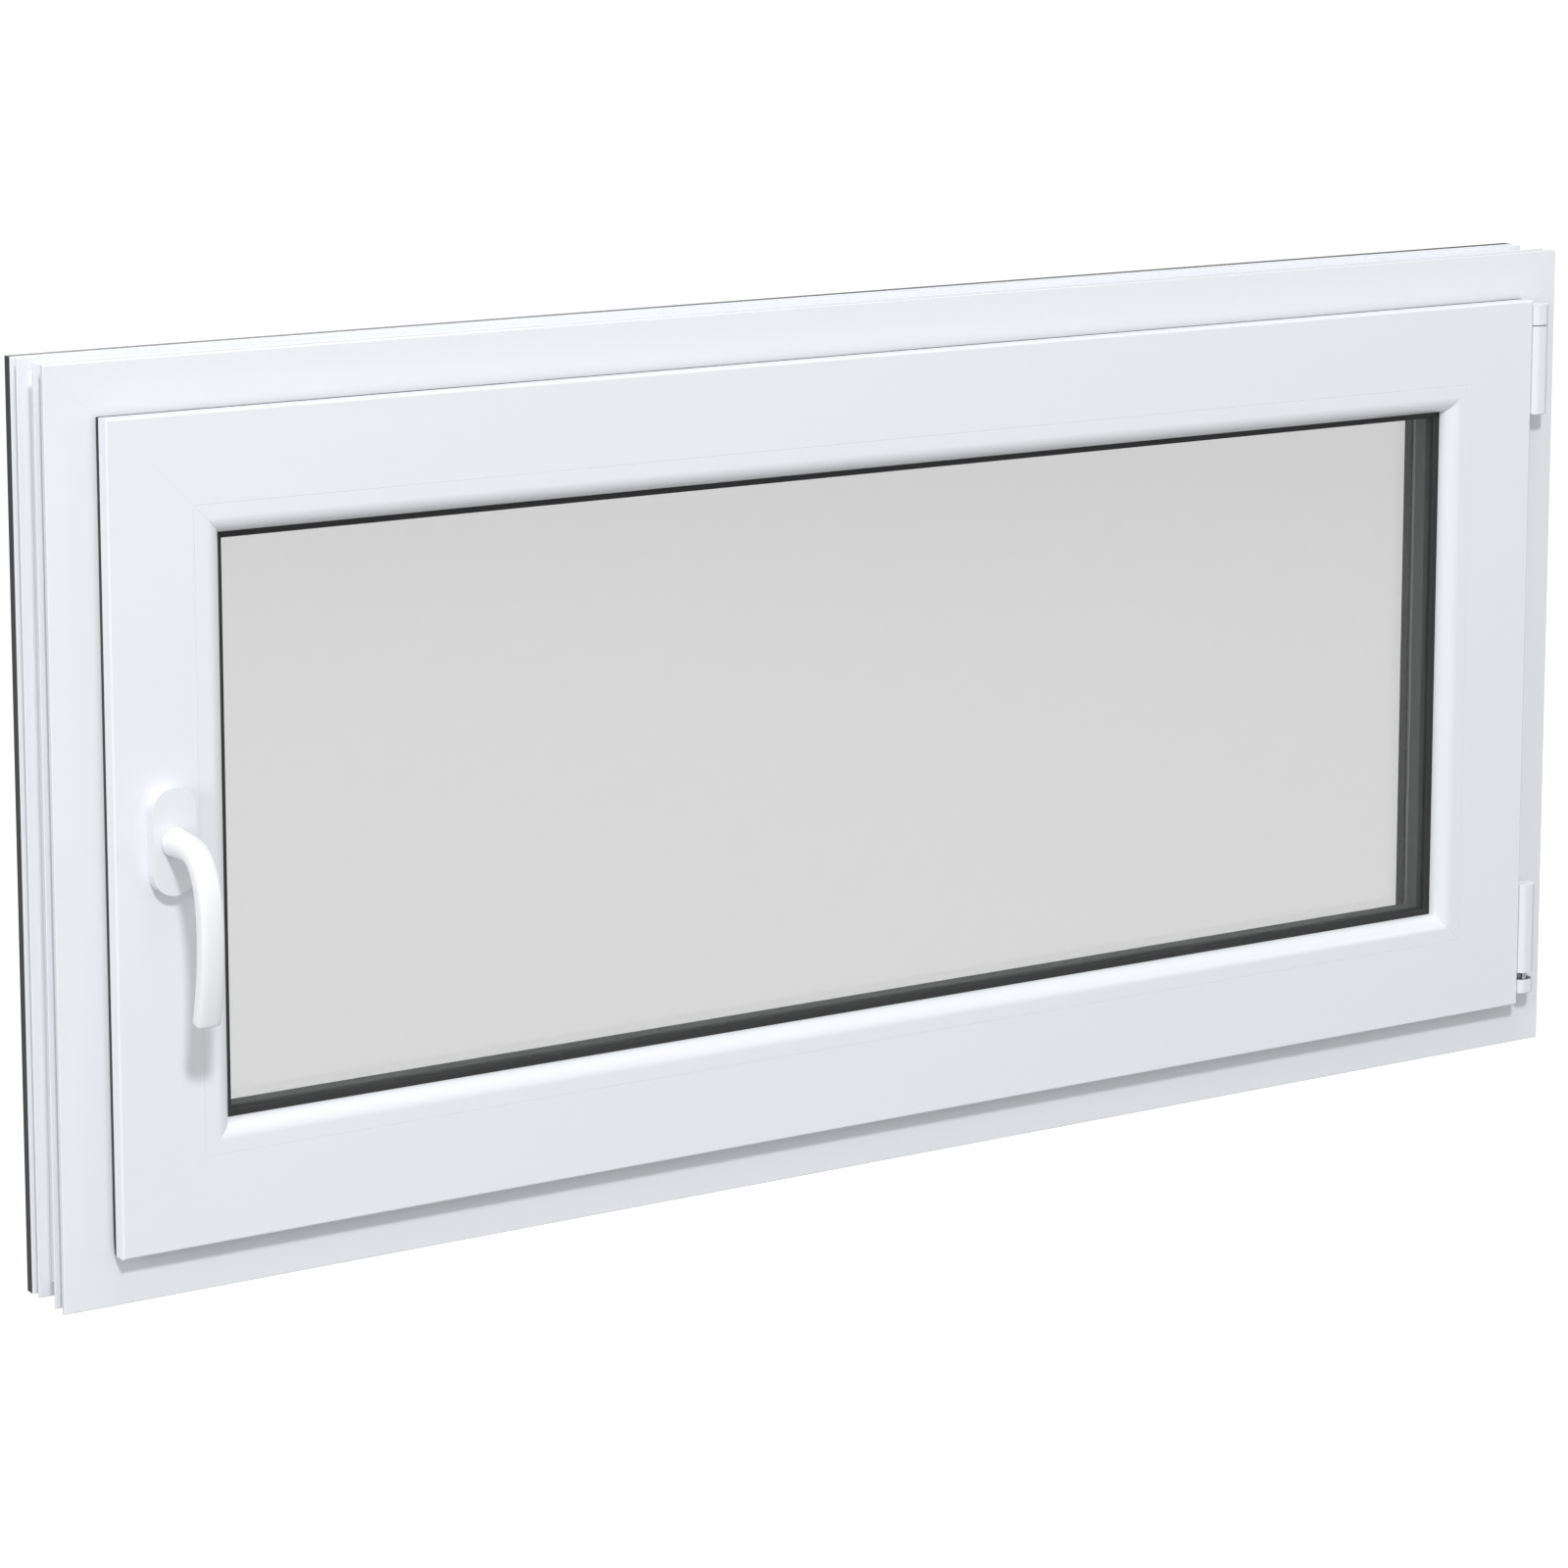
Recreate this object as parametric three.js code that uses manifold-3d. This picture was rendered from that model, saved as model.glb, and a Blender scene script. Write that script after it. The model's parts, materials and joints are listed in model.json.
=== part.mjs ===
// A tilt-and-turn casement window: a PVC frame and sash with aluminium covers outside, a double-glazed unit,
// a lever handle, a rack-and-pinion espagnolette with sliding lock rods, two hinges and a tilt stay.
// Millimetres. X runs along the width, Y from the room to the outside, Z up.
// A section is drawn as [inset, depth]: inset is the distance in from the frame's outline on every side,
// and depth is the distance from the frame's room face towards the outside.
import * as THREE from "three";
import { mergeVertices } from "three/addons/utils/BufferGeometryUtils.js";
import Module from "manifold-3d";

const wasm = await Module();
wasm.setup();

// Driving dimensions
const WIDTH = 1250;
const HEIGHT = 620;
const FRAME_DEPTH = 60;
const FLANGE = 4; // the room-side flange of the frame's outer edge
const GAP = 0.3; // between pieces that lie against each other

// Frame, measured in from the outline
const FRAME_LIP = 43; // height of the room-side part, up to the rebate
const FRAME_STOP = 63; // height of the outer stop that the sash closes against
const STOP_DEPTH = 46; // depth at which the outer stop begins
const COVER_DEPTH = 52.2; // depth at which the outer cover's side leg begins

// Sash, measured in from the frame's outline
const SASH_EDGE = 35; // outer edge of the lip that overlaps the frame
const SASH_BODY = 55; // outer face of the sash inside the rebate
const SASH_FACE = -16; // depth of the sash's room face
const LIP_BACK = -4.5; // depth of the lip's hidden side
const SASH_BACK = 42; // depth of the sash's outer face
const REBATE = 95; // floor of the glazing rebate, where the beads start
const SIGHT = 115.5; // edge that the beads leave open
const SEAL_FOOT = [36, 43]; // insets of the overlap seal's foot on the lip

// Glass unit
const GLASS_EDGE = 100;
const PANE = 4;
const CAVITY = 16;
const GLASS_FRONT = -1;
const SEAL_SIGHT = 120.2; // edge of the seal that lies on the inner pane
const SPACER_SIGHT = 120.5;

// Hardware groove in the sash's outer face, and what runs in it
const GROOVE_MID = 10; // depth of the groove's centre line
const PLATE_HALF = 7.7; // half width of a faceplate
const ROD_HALF = 5.7; // half width of a lock rod
const ROD_TOP = 58.3;
const ROD_BACK = 59.8;
const CAM_TIP = 47; // inset that a locking cam reaches in the rebate gap
const ROD_TRAVEL = 36; // for half a turn of the handle
const SLOT_HALF = 5.2;
const SLOT_END = 6; // room past the cam at each end of its travel

// Handle and its gearing
const HANDLE_INSET = 72.5;
const HANDLE_Z = HEIGHT / 2;
const TEETH = 16;
const PITCH_RADIUS = ROD_TRAVEL / Math.PI;
const TOOTH_PITCH = (2 * ROD_TRAVEL) / TEETH;
const PITCH_INSET = HANDLE_INSET - PITCH_RADIUS;
const SPINDLE = 7;
const GRIP_WIDE = 17.6;
const GRIP_THICK = 12.4;

// Hinge line, in front of the frame beside the sash's lip
const HINGE_X = 599.5;
const HINGE_DEPTH = -12;
const CAP_RADIUS = 6.7;
const CAP_WALL = 0.7;
const CAP_FLANK = 9.2; // reach of the caps' flank towards the sash, whose lip is 9.5 from the hinge line
const SLEEVE_RADIUS = 5;

const finish = (color, roughness, metalness = 0) =>
  new THREE.MeshStandardMaterial({ color, roughness, metalness });
const PVC = finish(0xf1f3f7, 0.3);
const CAP_PLASTIC = finish(0xf4f5f8, 0.35);
const HANDLE_COAT = finish(0xf6f7fa, 0.28);
const ANTHRACITE = finish(0x43474b, 0.5, 0.3);
const SEAL = finish(0x2b2b2c, 0.65);
const SPACER = finish(0x2a2b2c, 0.45);
const GLASS = new THREE.MeshStandardMaterial({
  color: 0xd6d8d7,
  roughness: 0.03,
  transparent: true,
  opacity: 0.35,
});
const STEEL = finish(0xb9bcbf, 0.35, 0.9);
const ZINC = finish(0xa4a7aa, 0.45, 0.8);
const BLOCK = finish(0x3b6fa8, 0.5);

const part = new THREE.Group();
part.position.y = -FLANGE / 2; // the origin lies in the middle of the sill's room-side flange

// Turns a three.js geometry into a manifold-3d solid, whichever way its faces were wound.
function solid(geometry) {
  const bare = geometry.clone();
  for (const name of Object.keys(bare.attributes)) {
    if (name !== "position") bare.deleteAttribute(name);
  }
  const merged = mergeVertices(bare, 1e-4);
  const triVerts = new Uint32Array(merged.index.array);
  const vertProperties = merged.attributes.position.array;
  const corner = (i) => new THREE.Vector3().fromArray(vertProperties, 3 * triVerts[i]);
  let volume = 0;
  for (let i = 0; i < triVerts.length; i += 3) {
    volume += corner(i).dot(corner(i + 1).cross(corner(i + 2)));
  }
  if (volume < 0) {
    for (let i = 0; i < triVerts.length; i += 3) {
      [triVerts[i + 1], triVerts[i + 2]] = [triVerts[i + 2], triVerts[i + 1]];
    }
  }
  return new wasm.Manifold(new wasm.Mesh({ numProp: 3, vertProperties, triVerts }));
}

function add(name, material, body) {
  const made = body.getMesh();
  const geometry = new THREE.BufferGeometry()
    .setAttribute("position", new THREE.BufferAttribute(new Float32Array(made.vertProperties), 3))
    .setIndex(new THREE.BufferAttribute(new Uint32Array(made.triVerts), 1));
  geometry.computeVertexNormals();
  const mesh = new THREE.Mesh(geometry, material);
  mesh.name = name;
  part.add(mesh);
}

const join = (first, ...rest) => rest.reduce((sum, next) => sum.add(next), first);
const cut = (first, ...rest) => rest.reduce((left, next) => left.subtract(next), first);

function box([x0, y0, z0], [x1, y1, z1]) {
  const geometry = new THREE.BoxGeometry(x1 - x0, y1 - y0, z1 - z0);
  return solid(geometry.translate((x0 + x1) / 2, (y0 + y1) / 2, (z0 + z1) / 2));
}

// A cylinder of that radius along "x", "y" or "z", from one coordinate on that axis to another.
function rod(axis, at, radius, from, to, sides = 24) {
  const geometry = new THREE.CylinderGeometry(radius, radius, to - from, sides);
  if (axis === "x") geometry.rotateZ(Math.PI / 2);
  if (axis === "z") geometry.rotateX(Math.PI / 2);
  const middle = new THREE.Vector3(...at);
  middle[axis] = (from + to) / 2;
  return solid(geometry.translate(middle.x, middle.y, middle.z));
}

function outline(points, holes = []) {
  const shape = new THREE.Shape(points.map(([a, b]) => new THREE.Vector2(a, b)));
  for (const hole of holes) {
    shape.holes.push(new THREE.Path(hole.map(([a, b]) => new THREE.Vector2(a, b))));
  }
  return shape;
}

const chamber = (u0, d0, u1, d1) => [
  [u0, d0],
  [u1, d0],
  [u1, d1],
  [u0, d1],
];

// Where a point at that inset and depth lies on a side; along runs from the side's middle.
const SIDES = {
  sill: (along, inset, depth) => [along, depth, inset],
  head: (along, inset, depth) => [along, depth, HEIGHT - inset],
  lock: (along, inset, depth) => [-WIDTH / 2 + inset, depth, HEIGHT / 2 + along],
  hinge: (along, inset, depth) => [WIDTH / 2 - inset, depth, HEIGHT / 2 + along],
};
const halfLength = (side) => (side === "sill" || side === "head" ? WIDTH : HEIGHT) / 2;

// A profile bar on one side of the rectangle, with both ends mitred at 45 degrees.
function mitred(side, points, cuts = [], overrun = 0) {
  const geometry = new THREE.ExtrudeGeometry(outline(points), { depth: 1, bevelEnabled: false });
  const position = geometry.attributes.position;
  for (let i = 0; i < position.count; i++) {
    const inset = position.getX(i);
    const reach = halfLength(side) - inset + overrun;
    const along = position.getZ(i) > 0.5 ? reach : -reach;
    position.setXYZ(i, ...SIDES[side](along, inset, position.getY(i)));
  }
  return cut(solid(geometry), ...cuts.map((hollow) => mitred(side, hollow, [], 5)));
}

// One closed ring of that section round all four sides: a four-sided lathe whose corners are then put in place.
function ring(points) {
  const far = WIDTH;
  const profile = [...points, points[0]].map(([inset, depth]) => new THREE.Vector2(far - inset, depth));
  const geometry = new THREE.LatheGeometry(profile, 4, Math.PI / 4);
  const position = geometry.attributes.position;
  for (let i = 0; i < position.count; i++) {
    const inset = far - Math.hypot(position.getX(i), position.getZ(i));
    const x = Math.sign(position.getX(i)) * (WIDTH / 2 - inset);
    const z = HEIGHT / 2 + Math.sign(position.getZ(i)) * (HEIGHT / 2 - inset);
    position.setXYZ(i, Math.fround(x), position.getY(i), Math.fround(z));
  }
  return solid(geometry);
}

// A box given by its place along a side, its insets and its depths.
function sideBox(side, [a0, a1], [u0, u1], [d0, d1]) {
  const [p, q] = [SIDES[side](a0, u0, d0), SIDES[side](a1, u1, d1)];
  const low = p.map((value, i) => Math.min(value, q[i]));
  const high = p.map((value, i) => Math.max(value, q[i]));
  return box(low, high);
}

// ---- Frame ----

const FRAME_SECTION = [
  [0, 0],
  [0, COVER_DEPTH - 0.1],
  [2.1, COVER_DEPTH - 0.1],
  [2.1, 57.7],
  [60.9, 57.7],
  [60.9, STOP_DEPTH],
  [FRAME_LIP, STOP_DEPTH],
  [FRAME_LIP, 1],
  [FRAME_LIP - 1, 0],
];
const FRAME_GROOVES = [
  chamber(-1, FLANGE, 10, 14.5),
  chamber(-1, 16.5, 10, 40.5),
  chamber(-1, 42.5, 6, 50.3),
];
const FRAME_CHAMBERS = [chamber(13, 8, 40, 40), chamber(13, 42.5, 40, 47), chamber(9, 51, 58, 55)];
const FRAME_BARS = {
  sill: "frame_sill",
  head: "frame_head",
  lock: "frame_jamb_lock",
  hinge: "frame_jamb_hinge",
};

function frame() {
  for (const [side, name] of Object.entries(FRAME_BARS)) {
    add(name, PVC, mitred(side, FRAME_SECTION, [...FRAME_GROOVES, ...FRAME_CHAMBERS]));
  }
  for (const side of ["sill", "head"]) {
    add(`frame_steel_${side}`, STEEL, steelTube(side, [14, 39], [9, 39], WIDTH / 2 - 62));
  }
  const cover = [
    [0, COVER_DEPTH],
    [0, FRAME_DEPTH],
    [FRAME_STOP, FRAME_DEPTH],
    [FRAME_STOP, 48],
    [61.2, 48],
    [61.2, 58],
    [1.8, 58],
    [1.8, COVER_DEPTH],
  ];
  add("frame_cover", ANTHRACITE, ring(cover));
  const seal = [
    [56, STOP_DEPTH],
    [60, STOP_DEPTH],
    [60.5, 43.2],
    [58, 42.4],
    [55.5, 43.2],
  ];
  add("frame_seal", SEAL, ring(seal));
  for (const [name, middle] of [
    ["left", -350],
    ["right", 350],
  ]) {
    const hood = sideBox("sill", [middle - 21, middle + 21], [24, 33], [FRAME_DEPTH, FRAME_DEPTH + 4]);
    const mouth = sideBox("sill", [middle - 18, middle + 18], [23, 27], [FRAME_DEPTH + 1, FRAME_DEPTH + 3]);
    add(`drain_cap_${name}`, ANTHRACITE, cut(hood, mouth));
  }
}

// A square-cut steel tube inside a chamber of the sill or head.
function steelTube(side, [u0, u1], [d0, d1], reach, wall = 2) {
  const outer = sideBox(side, [-reach, reach], [u0, u1], [d0, d1]);
  return cut(outer, sideBox(side, [-reach - 1, reach + 1], [u0 + wall, u1 - wall], [d0 + wall, d1 - wall]));
}

// ---- Sash ----

const SASH_SECTION = [
  [SASH_EDGE, SASH_FACE + 1.2],
  [SASH_EDGE + 1.2, SASH_FACE],
  [REBATE, SASH_FACE],
  [REBATE, 26],
  [SIGHT, 26],
  [SIGHT, 28.9],
  [111.9, 39.7],
  [SASH_BODY, 39.7],
  [SASH_BODY, LIP_BACK],
  [SASH_EDGE, LIP_BACK],
];
const SASH_HOLLOWS = [
  chamber(REBATE - 3.5, -10, REBATE + 1, -7),
  chamber(SASH_BODY - 1, 2, 58, 18),
  chamber(57, 4, 65, 16),
  chamber(39, -12.5, 62, -8),
  chamber(68, -12.5, 88.5, 21),
  chamber(60, 25, 92, 36),
  chamber(98, 29, 109, 36),
];

function sash() {
  add("sash_sill", PVC, mitred("sill", SASH_SECTION, SASH_HOLLOWS));
  add("sash_head", PVC, mitred("head", SASH_SECTION, SASH_HOLLOWS));
  add("sash_stile_hinge", PVC, mitred("hinge", SASH_SECTION, SASH_HOLLOWS));
  const x = -WIDTH / 2 + HANDLE_INSET;
  const pocket = sideBox("lock", [-24, 24], [62, 88], aroundGroove(6.1));
  const bore = rod("y", [x, 0, HANDLE_Z], 6.5, SASH_FACE - 1, GROOVE_MID);
  add("sash_stile_lock", PVC, cut(mitred("lock", SASH_SECTION, SASH_HOLLOWS), pocket, bore));
  for (const side of ["sill", "head"]) {
    add(`sash_steel_${side}`, STEEL, steelTube(side, [69, 87.5], [-11.5, 20], WIDTH / 2 - 93));
  }
  const cover = [
    [SASH_BODY, 40],
    [SASH_BODY, SASH_BACK],
    [113.5, SASH_BACK],
    [117.3, 29.5],
    [115.8, 29.2],
    [112.2, 40],
  ];
  add("sash_cover", ANTHRACITE, ring(cover));
  const seal = [
    [SEAL_FOOT[0], LIP_BACK],
    [SEAL_FOOT[1], LIP_BACK],
    [42.6, -1.8],
    [41.5, -1.4],
    [40.4, -1.8],
    [36.4, -3.4],
  ];
  const armNotch = box([HINGE_X - 20, LIP_BACK - 1, 567], [HINGE_X - 10, 0, 577]);
  const hingeNotch = box([HINGE_X - 20, LIP_BACK - 1, 61], [HINGE_X - 10, 0, 126]);
  add("sash_seal", SEAL, notchedSeal(seal, armNotch, hingeNotch));
}

// The overlap seal, notched where the sash hinge and the stay arm cross it. Its foot runs on under the notches.
function notchedSeal(section, ...notches) {
  const foot = chamber(SEAL_FOOT[0], LIP_BACK, SEAL_FOOT[1], LIP_BACK + 0.5);
  return join(cut(ring(section), ...notches), ring(foot));
}

// ---- Beads, glass and its seals ----

function beadSection() {
  const points = [
    [REBATE + GAP, SASH_FACE + 0.5],
    [REBATE + GAP + 0.5, SASH_FACE],
  ];
  const [run, drop, steps] = [8, 11.7, 7]; // the rounded edge is a quarter of an ellipse
  for (let i = 0; i <= steps; i++) {
    const turn = (i / steps) * (Math.PI / 2);
    points.push([SIGHT - run + run * Math.sin(turn), SASH_FACE + drop * (1 - Math.cos(turn))]);
  }
  return [
    ...points,
    [SIGHT, -4],
    [REBATE + GAP, -4],
  ];
}

function glazing() {
  const beads = { sill: "bead_bottom", head: "bead_top", lock: "bead_left", hinge: "bead_right" };
  const tongue = chamber(REBATE - 3.2, -9.7, REBATE + 2, -7.3);
  for (const [side, name] of Object.entries(beads)) {
    add(name, PVC, join(mitred(side, beadSection()), mitred(side, tongue, [], -1)));
  }
  const back = GLASS_FRONT + 2 * PANE + CAVITY;
  const pane = (front) =>
    box(
      [-WIDTH / 2 + GLASS_EDGE, front, GLASS_EDGE],
      [WIDTH / 2 - GLASS_EDGE, front + PANE, HEIGHT - GLASS_EDGE],
    );
  add("pane_inner", GLASS, pane(GLASS_FRONT));
  add("pane_outer", GLASS, pane(back - PANE));
  const strip = (u0, d0, u1, d1) => ring(chamber(u0, d0, u1, d1));
  add("spacer_bar", SPACER, strip(GLASS_EDGE + 1, GLASS_FRONT + PANE, SPACER_SIGHT, back - PANE));
  add("glazing_seal_inner", SEAL, strip(106, -4, SEAL_SIGHT, GLASS_FRONT));
  add("glazing_seal_outer", SEAL, strip(106, back, SIGHT - 0.5, 26));
  for (const [name, middle] of [
    ["left", -400],
    ["right", 400],
  ]) {
    const block = sideBox("sill", [middle - 50, middle + 50], [REBATE, GLASS_EDGE], [GLASS_FRONT, back]);
    add(`setting_block_${name}`, BLOCK, block);
  }
}

// ---- Lock rods, faceplates, gearbox and strikers ----

// Each rod's ends, its cams' places and the way it slides, all measured along its side.
const RODS = {
  side: { on: "lock", ends: [-140, 190], cams: [-110, 160], slides: -1 },
  top: { on: "head", ends: [-465, 130], cams: [-200], slides: -1 },
  bottom: { on: "sill", ends: [-500, 420], cams: [-400, 330], slides: 1 },
};
const PLATES = { side: [-189, 189], top: [-504, 500], bottom: [-504, 500] };

const aroundGroove = (half) => [GROOVE_MID - half, GROOVE_MID + half];

function camSolid(side, along) {
  const [x, y, z] = SIDES[side](along, 0, GROOVE_MID);
  const axis = side === "lock" ? "x" : "z";
  const at = (inset) => SIDES[side](along, inset, GROOVE_MID)[axis === "x" ? 0 : 2];
  const stretch = (u0, u1) => [Math.min(at(u0), at(u1)), Math.max(at(u0), at(u1))];
  const shank = rod(axis, [x, y, z], 3, ...stretch(CAM_TIP + 2.5, ROD_TOP + 0.5));
  return join(shank, rod(axis, [x, y, z], 4.6, ...stretch(CAM_TIP, CAM_TIP + 3)));
}

function lockGear() {
  for (const [name, { on, ends, cams, slides }] of Object.entries(RODS)) {
    const plate = sideBox(on, PLATES[name], [SASH_BODY + GAP, 57.7], aroundGroove(PLATE_HALF));
    const slots = cams.map((along) => {
      const [from, to] = slides > 0 ? [along, along + ROD_TRAVEL] : [along - ROD_TRAVEL, along];
      return sideBox(on, [from - SLOT_END, to + SLOT_END], [SASH_BODY - 1, 59], aroundGroove(SLOT_HALF));
    });
    add(`faceplate_${name}`, STEEL, cut(plate, ...slots));
    const bar = sideBox(on, ends, [ROD_TOP, ROD_BACK], aroundGroove(ROD_HALF));
    const pieces = [bar, ...cams.map((along) => camSolid(on, along))];
    if (name === "side") pieces.push(rack());
    add(`lock_rod_${name}`, STEEL, join(...pieces));
  }
  add("corner_drive_top", ZINC, cornerDrive("head", 1));
  add("corner_drive_bottom", ZINC, cornerDrive("sill", -1));
}

// An angle in the hardware groove that leads the drive round a corner of the lock side.
function cornerDrive(side, towards) {
  const insets = [SASH_BODY + GAP, SASH_BODY + GAP + 2.4];
  const corner = -WIDTH / 2 + insets[0];
  const level = sideBox(side, [corner, corner + 64], insets, aroundGroove(PLATE_HALF));
  const end = (HEIGHT / 2 - insets[0]) * towards;
  const upright = sideBox("lock", [end - 64.7 * towards, end], insets, aroundGroove(PLATE_HALF));
  return join(level, upright);
}

// Rack teeth on the side rod; a tooth of the pinion points into the gap at the handle's height.
function rack() {
  const [tip, root] = [PITCH_INSET + 1.26, ROD_TOP + 0.8];
  const half = (inset) => 1 - (inset - PITCH_INSET) * Math.tan(THREE.MathUtils.degToRad(20));
  const teeth = [];
  for (let tooth = -5; tooth <= 12; tooth++) {
    const middle = HANDLE_Z + (tooth + 0.5) * TOOTH_PITCH;
    const shape = outline([
      [-WIDTH / 2 + root, middle - half(root)],
      [-WIDTH / 2 + tip, middle - half(tip)],
      [-WIDTH / 2 + tip, middle + half(tip)],
      [-WIDTH / 2 + root, middle + half(root)],
    ]);
    const geometry = new THREE.ExtrudeGeometry(shape, { depth: 8, bevelEnabled: false });
    teeth.push(solid(geometry.rotateX(Math.PI / 2).translate(0, GROOVE_MID + 4, 0)));
  }
  return join(...teeth);
}

function gearbox() {
  const x = -WIDTH / 2 + HANDLE_INSET;
  const centre = [x, 0, HANDLE_Z];
  const block = sideBox("lock", [-22, 22], [63, 87.5], aroundGroove(5.8));
  const room = rod("y", centre, 13.2, GROOVE_MID - 4.4, GROOVE_MID + 4.4, 40);
  const hole = rod("y", centre, 5.6, GROOVE_MID - 8, GROOVE_MID + 8);
  add("gearbox_case", ZINC, cut(block, room, hole));

  const points = [];
  for (let tooth = 0; tooth < TEETH; tooth++) {
    const middle = Math.PI + (tooth * 2 * Math.PI) / TEETH;
    const corners = [
      [10, -1.35],
      [PITCH_RADIUS + 1.05, -0.5],
      [PITCH_RADIUS + 1.05, 0.5],
      [10, 1.35],
    ];
    for (const [radius, across] of corners) {
      const turn = middle + across / radius;
      points.push([radius * Math.cos(turn), radius * Math.sin(turn)]);
    }
  }
  const half = SPINDLE / 2 + 0.15;
  const wheel = outline(points, [chamber(-half, -half, half, half)]);
  const geometry = new THREE.ExtrudeGeometry(wheel, { depth: 8, bevelEnabled: false });
  geometry.rotateX(Math.PI / 2).translate(x, GROOVE_MID + 4, HANDLE_Z);
  add("drive_pinion", ZINC, solid(geometry));
}

function strikers() {
  const places = [
    ["striker_side_lower", "lock", -110, -1],
    ["striker_side_upper", "lock", 160, -1],
    ["striker_top", "head", -200, -1],
    ["striker_bottom_lock", "sill", -400, 1],
    ["striker_bottom_hinge", "sill", 330, 1],
  ];
  for (const [name, side, cam, slides] of places) {
    // A foot on the rebate floor, with a keeper wall outside the cam's path and an end block past its travel.
    const [a0, a1] = slides > 0 ? [cam - 14, cam + ROD_TRAVEL + 22] : [cam - ROD_TRAVEL - 22, cam + 14];
    const foot = sideBox(side, [a0, a1], [FRAME_LIP, FRAME_LIP + 2.5], [2, 26]);
    const keeper = sideBox(side, [a0, a1], [FRAME_LIP + 2, 51], [17, 21]);
    const end = slides > 0 ? [a1 - 8, a1] : [a0, a0 + 8];
    add(name, ZINC, join(foot, keeper, sideBox(side, end, [FRAME_LIP + 2, 51], [4, 18])));
  }
}

// ---- Handle ----

function oblong(width, height) {
  const [radius, straight] = [width / 2, (height - width) / 2];
  const shape = new THREE.Shape();
  shape.absarc(0, straight, radius, 0, Math.PI, false);
  shape.absarc(0, -straight, radius, Math.PI, 2 * Math.PI, false);
  return shape;
}

function handle() {
  const x = -WIDTH / 2 + HANDLE_INSET;
  const centre = [x, 0, HANDLE_Z];
  const face = oblong(28, 68);
  const bevel = { bevelThickness: 2.5, bevelSize: 1.5, bevelSegments: 3 };
  const plate = new THREE.ExtrudeGeometry(face, { depth: 5.5, curveSegments: 10, ...bevel });
  plate.rotateX(Math.PI / 2).translate(x, SASH_FACE - 2.5, HANDLE_Z);
  add("handle_rosette", CAP_PLASTIC, cut(solid(plate), rod("y", centre, 10.8, SASH_FACE - 12, SASH_FACE + 1)));

  const path = new THREE.CatmullRomCurve3(
    [
      [-30, 0],
      [-44, 0],
      [-53, -0.5],
      [-62.5, -4],
      [-71, -15],
      [-75.6, -33],
      [-76.8, -56],
      [-74.8, -82],
      [-69.6, -105],
      [-68.1, -111],
    ].map(([depth, z]) => new THREE.Vector3(x, depth, HANDLE_Z + z)),
  );
  const neck = rod("y", centre, 10.3, SASH_FACE - 20, SASH_FACE - 1, 28);
  const half = SPINDLE / 2 + 0.15;
  const socket = box([x - half, -34, HANDLE_Z - half], [x + half, SASH_FACE, HANDLE_Z + half]);
  add("handle_lever", HANDLE_COAT, cut(join(grip(path), neck), socket));
  const stud = SPINDLE / 2;
  const square = box([x - stud, -32, HANDLE_Z - stud], [x + stud, GROOVE_MID + 4, HANDLE_Z + stud]);
  add("handle_spindle", STEEL, square);
}

// A cylinder bent along the lever's centre line. Its section is an oval that keeps its wide axis along X.
function grip(path) {
  const geometry = new THREE.CylinderGeometry(1, 1, 1, 20, 24);
  const position = geometry.attributes.position;
  for (let i = 0; i < position.count; i++) {
    const share = THREE.MathUtils.clamp(0.5 - position.getY(i), 0, 1);
    const centre = path.getPointAt(share);
    const outward = new THREE.Vector3(1, 0, 0).cross(path.getTangentAt(share));
    const taper = share > 0.99 ? 0.75 : 1;
    centre.addScaledVector(outward, GRIP_THICK * 0.5 * taper * position.getZ(i));
    centre.x += GRIP_WIDE * 0.5 * taper * position.getX(i);
    position.setXYZ(i, centre.x, centre.y, centre.z);
  }
  return solid(geometry);
}

// ---- Hinges and tilt stay ----

// A hollow cap round the hinge line, with a flank that nearly meets the sash's lip and clears it in every pose.
// Its back stays open towards the frame; a squared tail closes the sides, on both sides of a cap that stays on
// the frame, and on the sash side only of a cap that turns.
function hingeCap(z0, z1, tailBack, bothSides, closeTop, closeBottom) {
  const body = (radius, low, high, right) => {
    const shape = new THREE.Shape();
    shape.moveTo(-radius, tailBack);
    shape.lineTo(-radius, 0);
    shape.absarc(0, 0, radius, Math.PI, right ? 2 * Math.PI : 2.5 * Math.PI, false);
    shape.lineTo(right ? radius : 0, tailBack);
    const extent = { depth: high - low, bevelEnabled: false, curveSegments: 12 };
    return solid(new THREE.ExtrudeGeometry(shape, extent).translate(HINGE_X, HINGE_DEPTH, low));
  };
  const flank = outline([
    [-CAP_FLANK, tailBack],
    [-CAP_FLANK, -1],
    [-8, -4.4],
    [-4.2, -6.6],
    [-4.2, tailBack],
  ]);
  const side = new THREE.ExtrudeGeometry(flank, { depth: z1 - z0, bevelEnabled: false });
  const outer = join(
    body(CAP_RADIUS, z0, z1, bothSides),
    solid(side.translate(HINGE_X, HINGE_DEPTH, z0)),
  );
  const low = z0 + (closeBottom ? CAP_WALL : -1);
  const high = z1 - (closeTop ? CAP_WALL : -1);
  const hollow = body(CAP_RADIUS - CAP_WALL, low, high, bothSides);
  const reach = CAP_RADIUS - CAP_WALL;
  const mouth = box([HINGE_X - reach, HINGE_DEPTH + 1, low], [HINGE_X + (bothSides ? reach : 0), 2, high]);
  return cut(outer, hollow, mouth);
}

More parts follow.
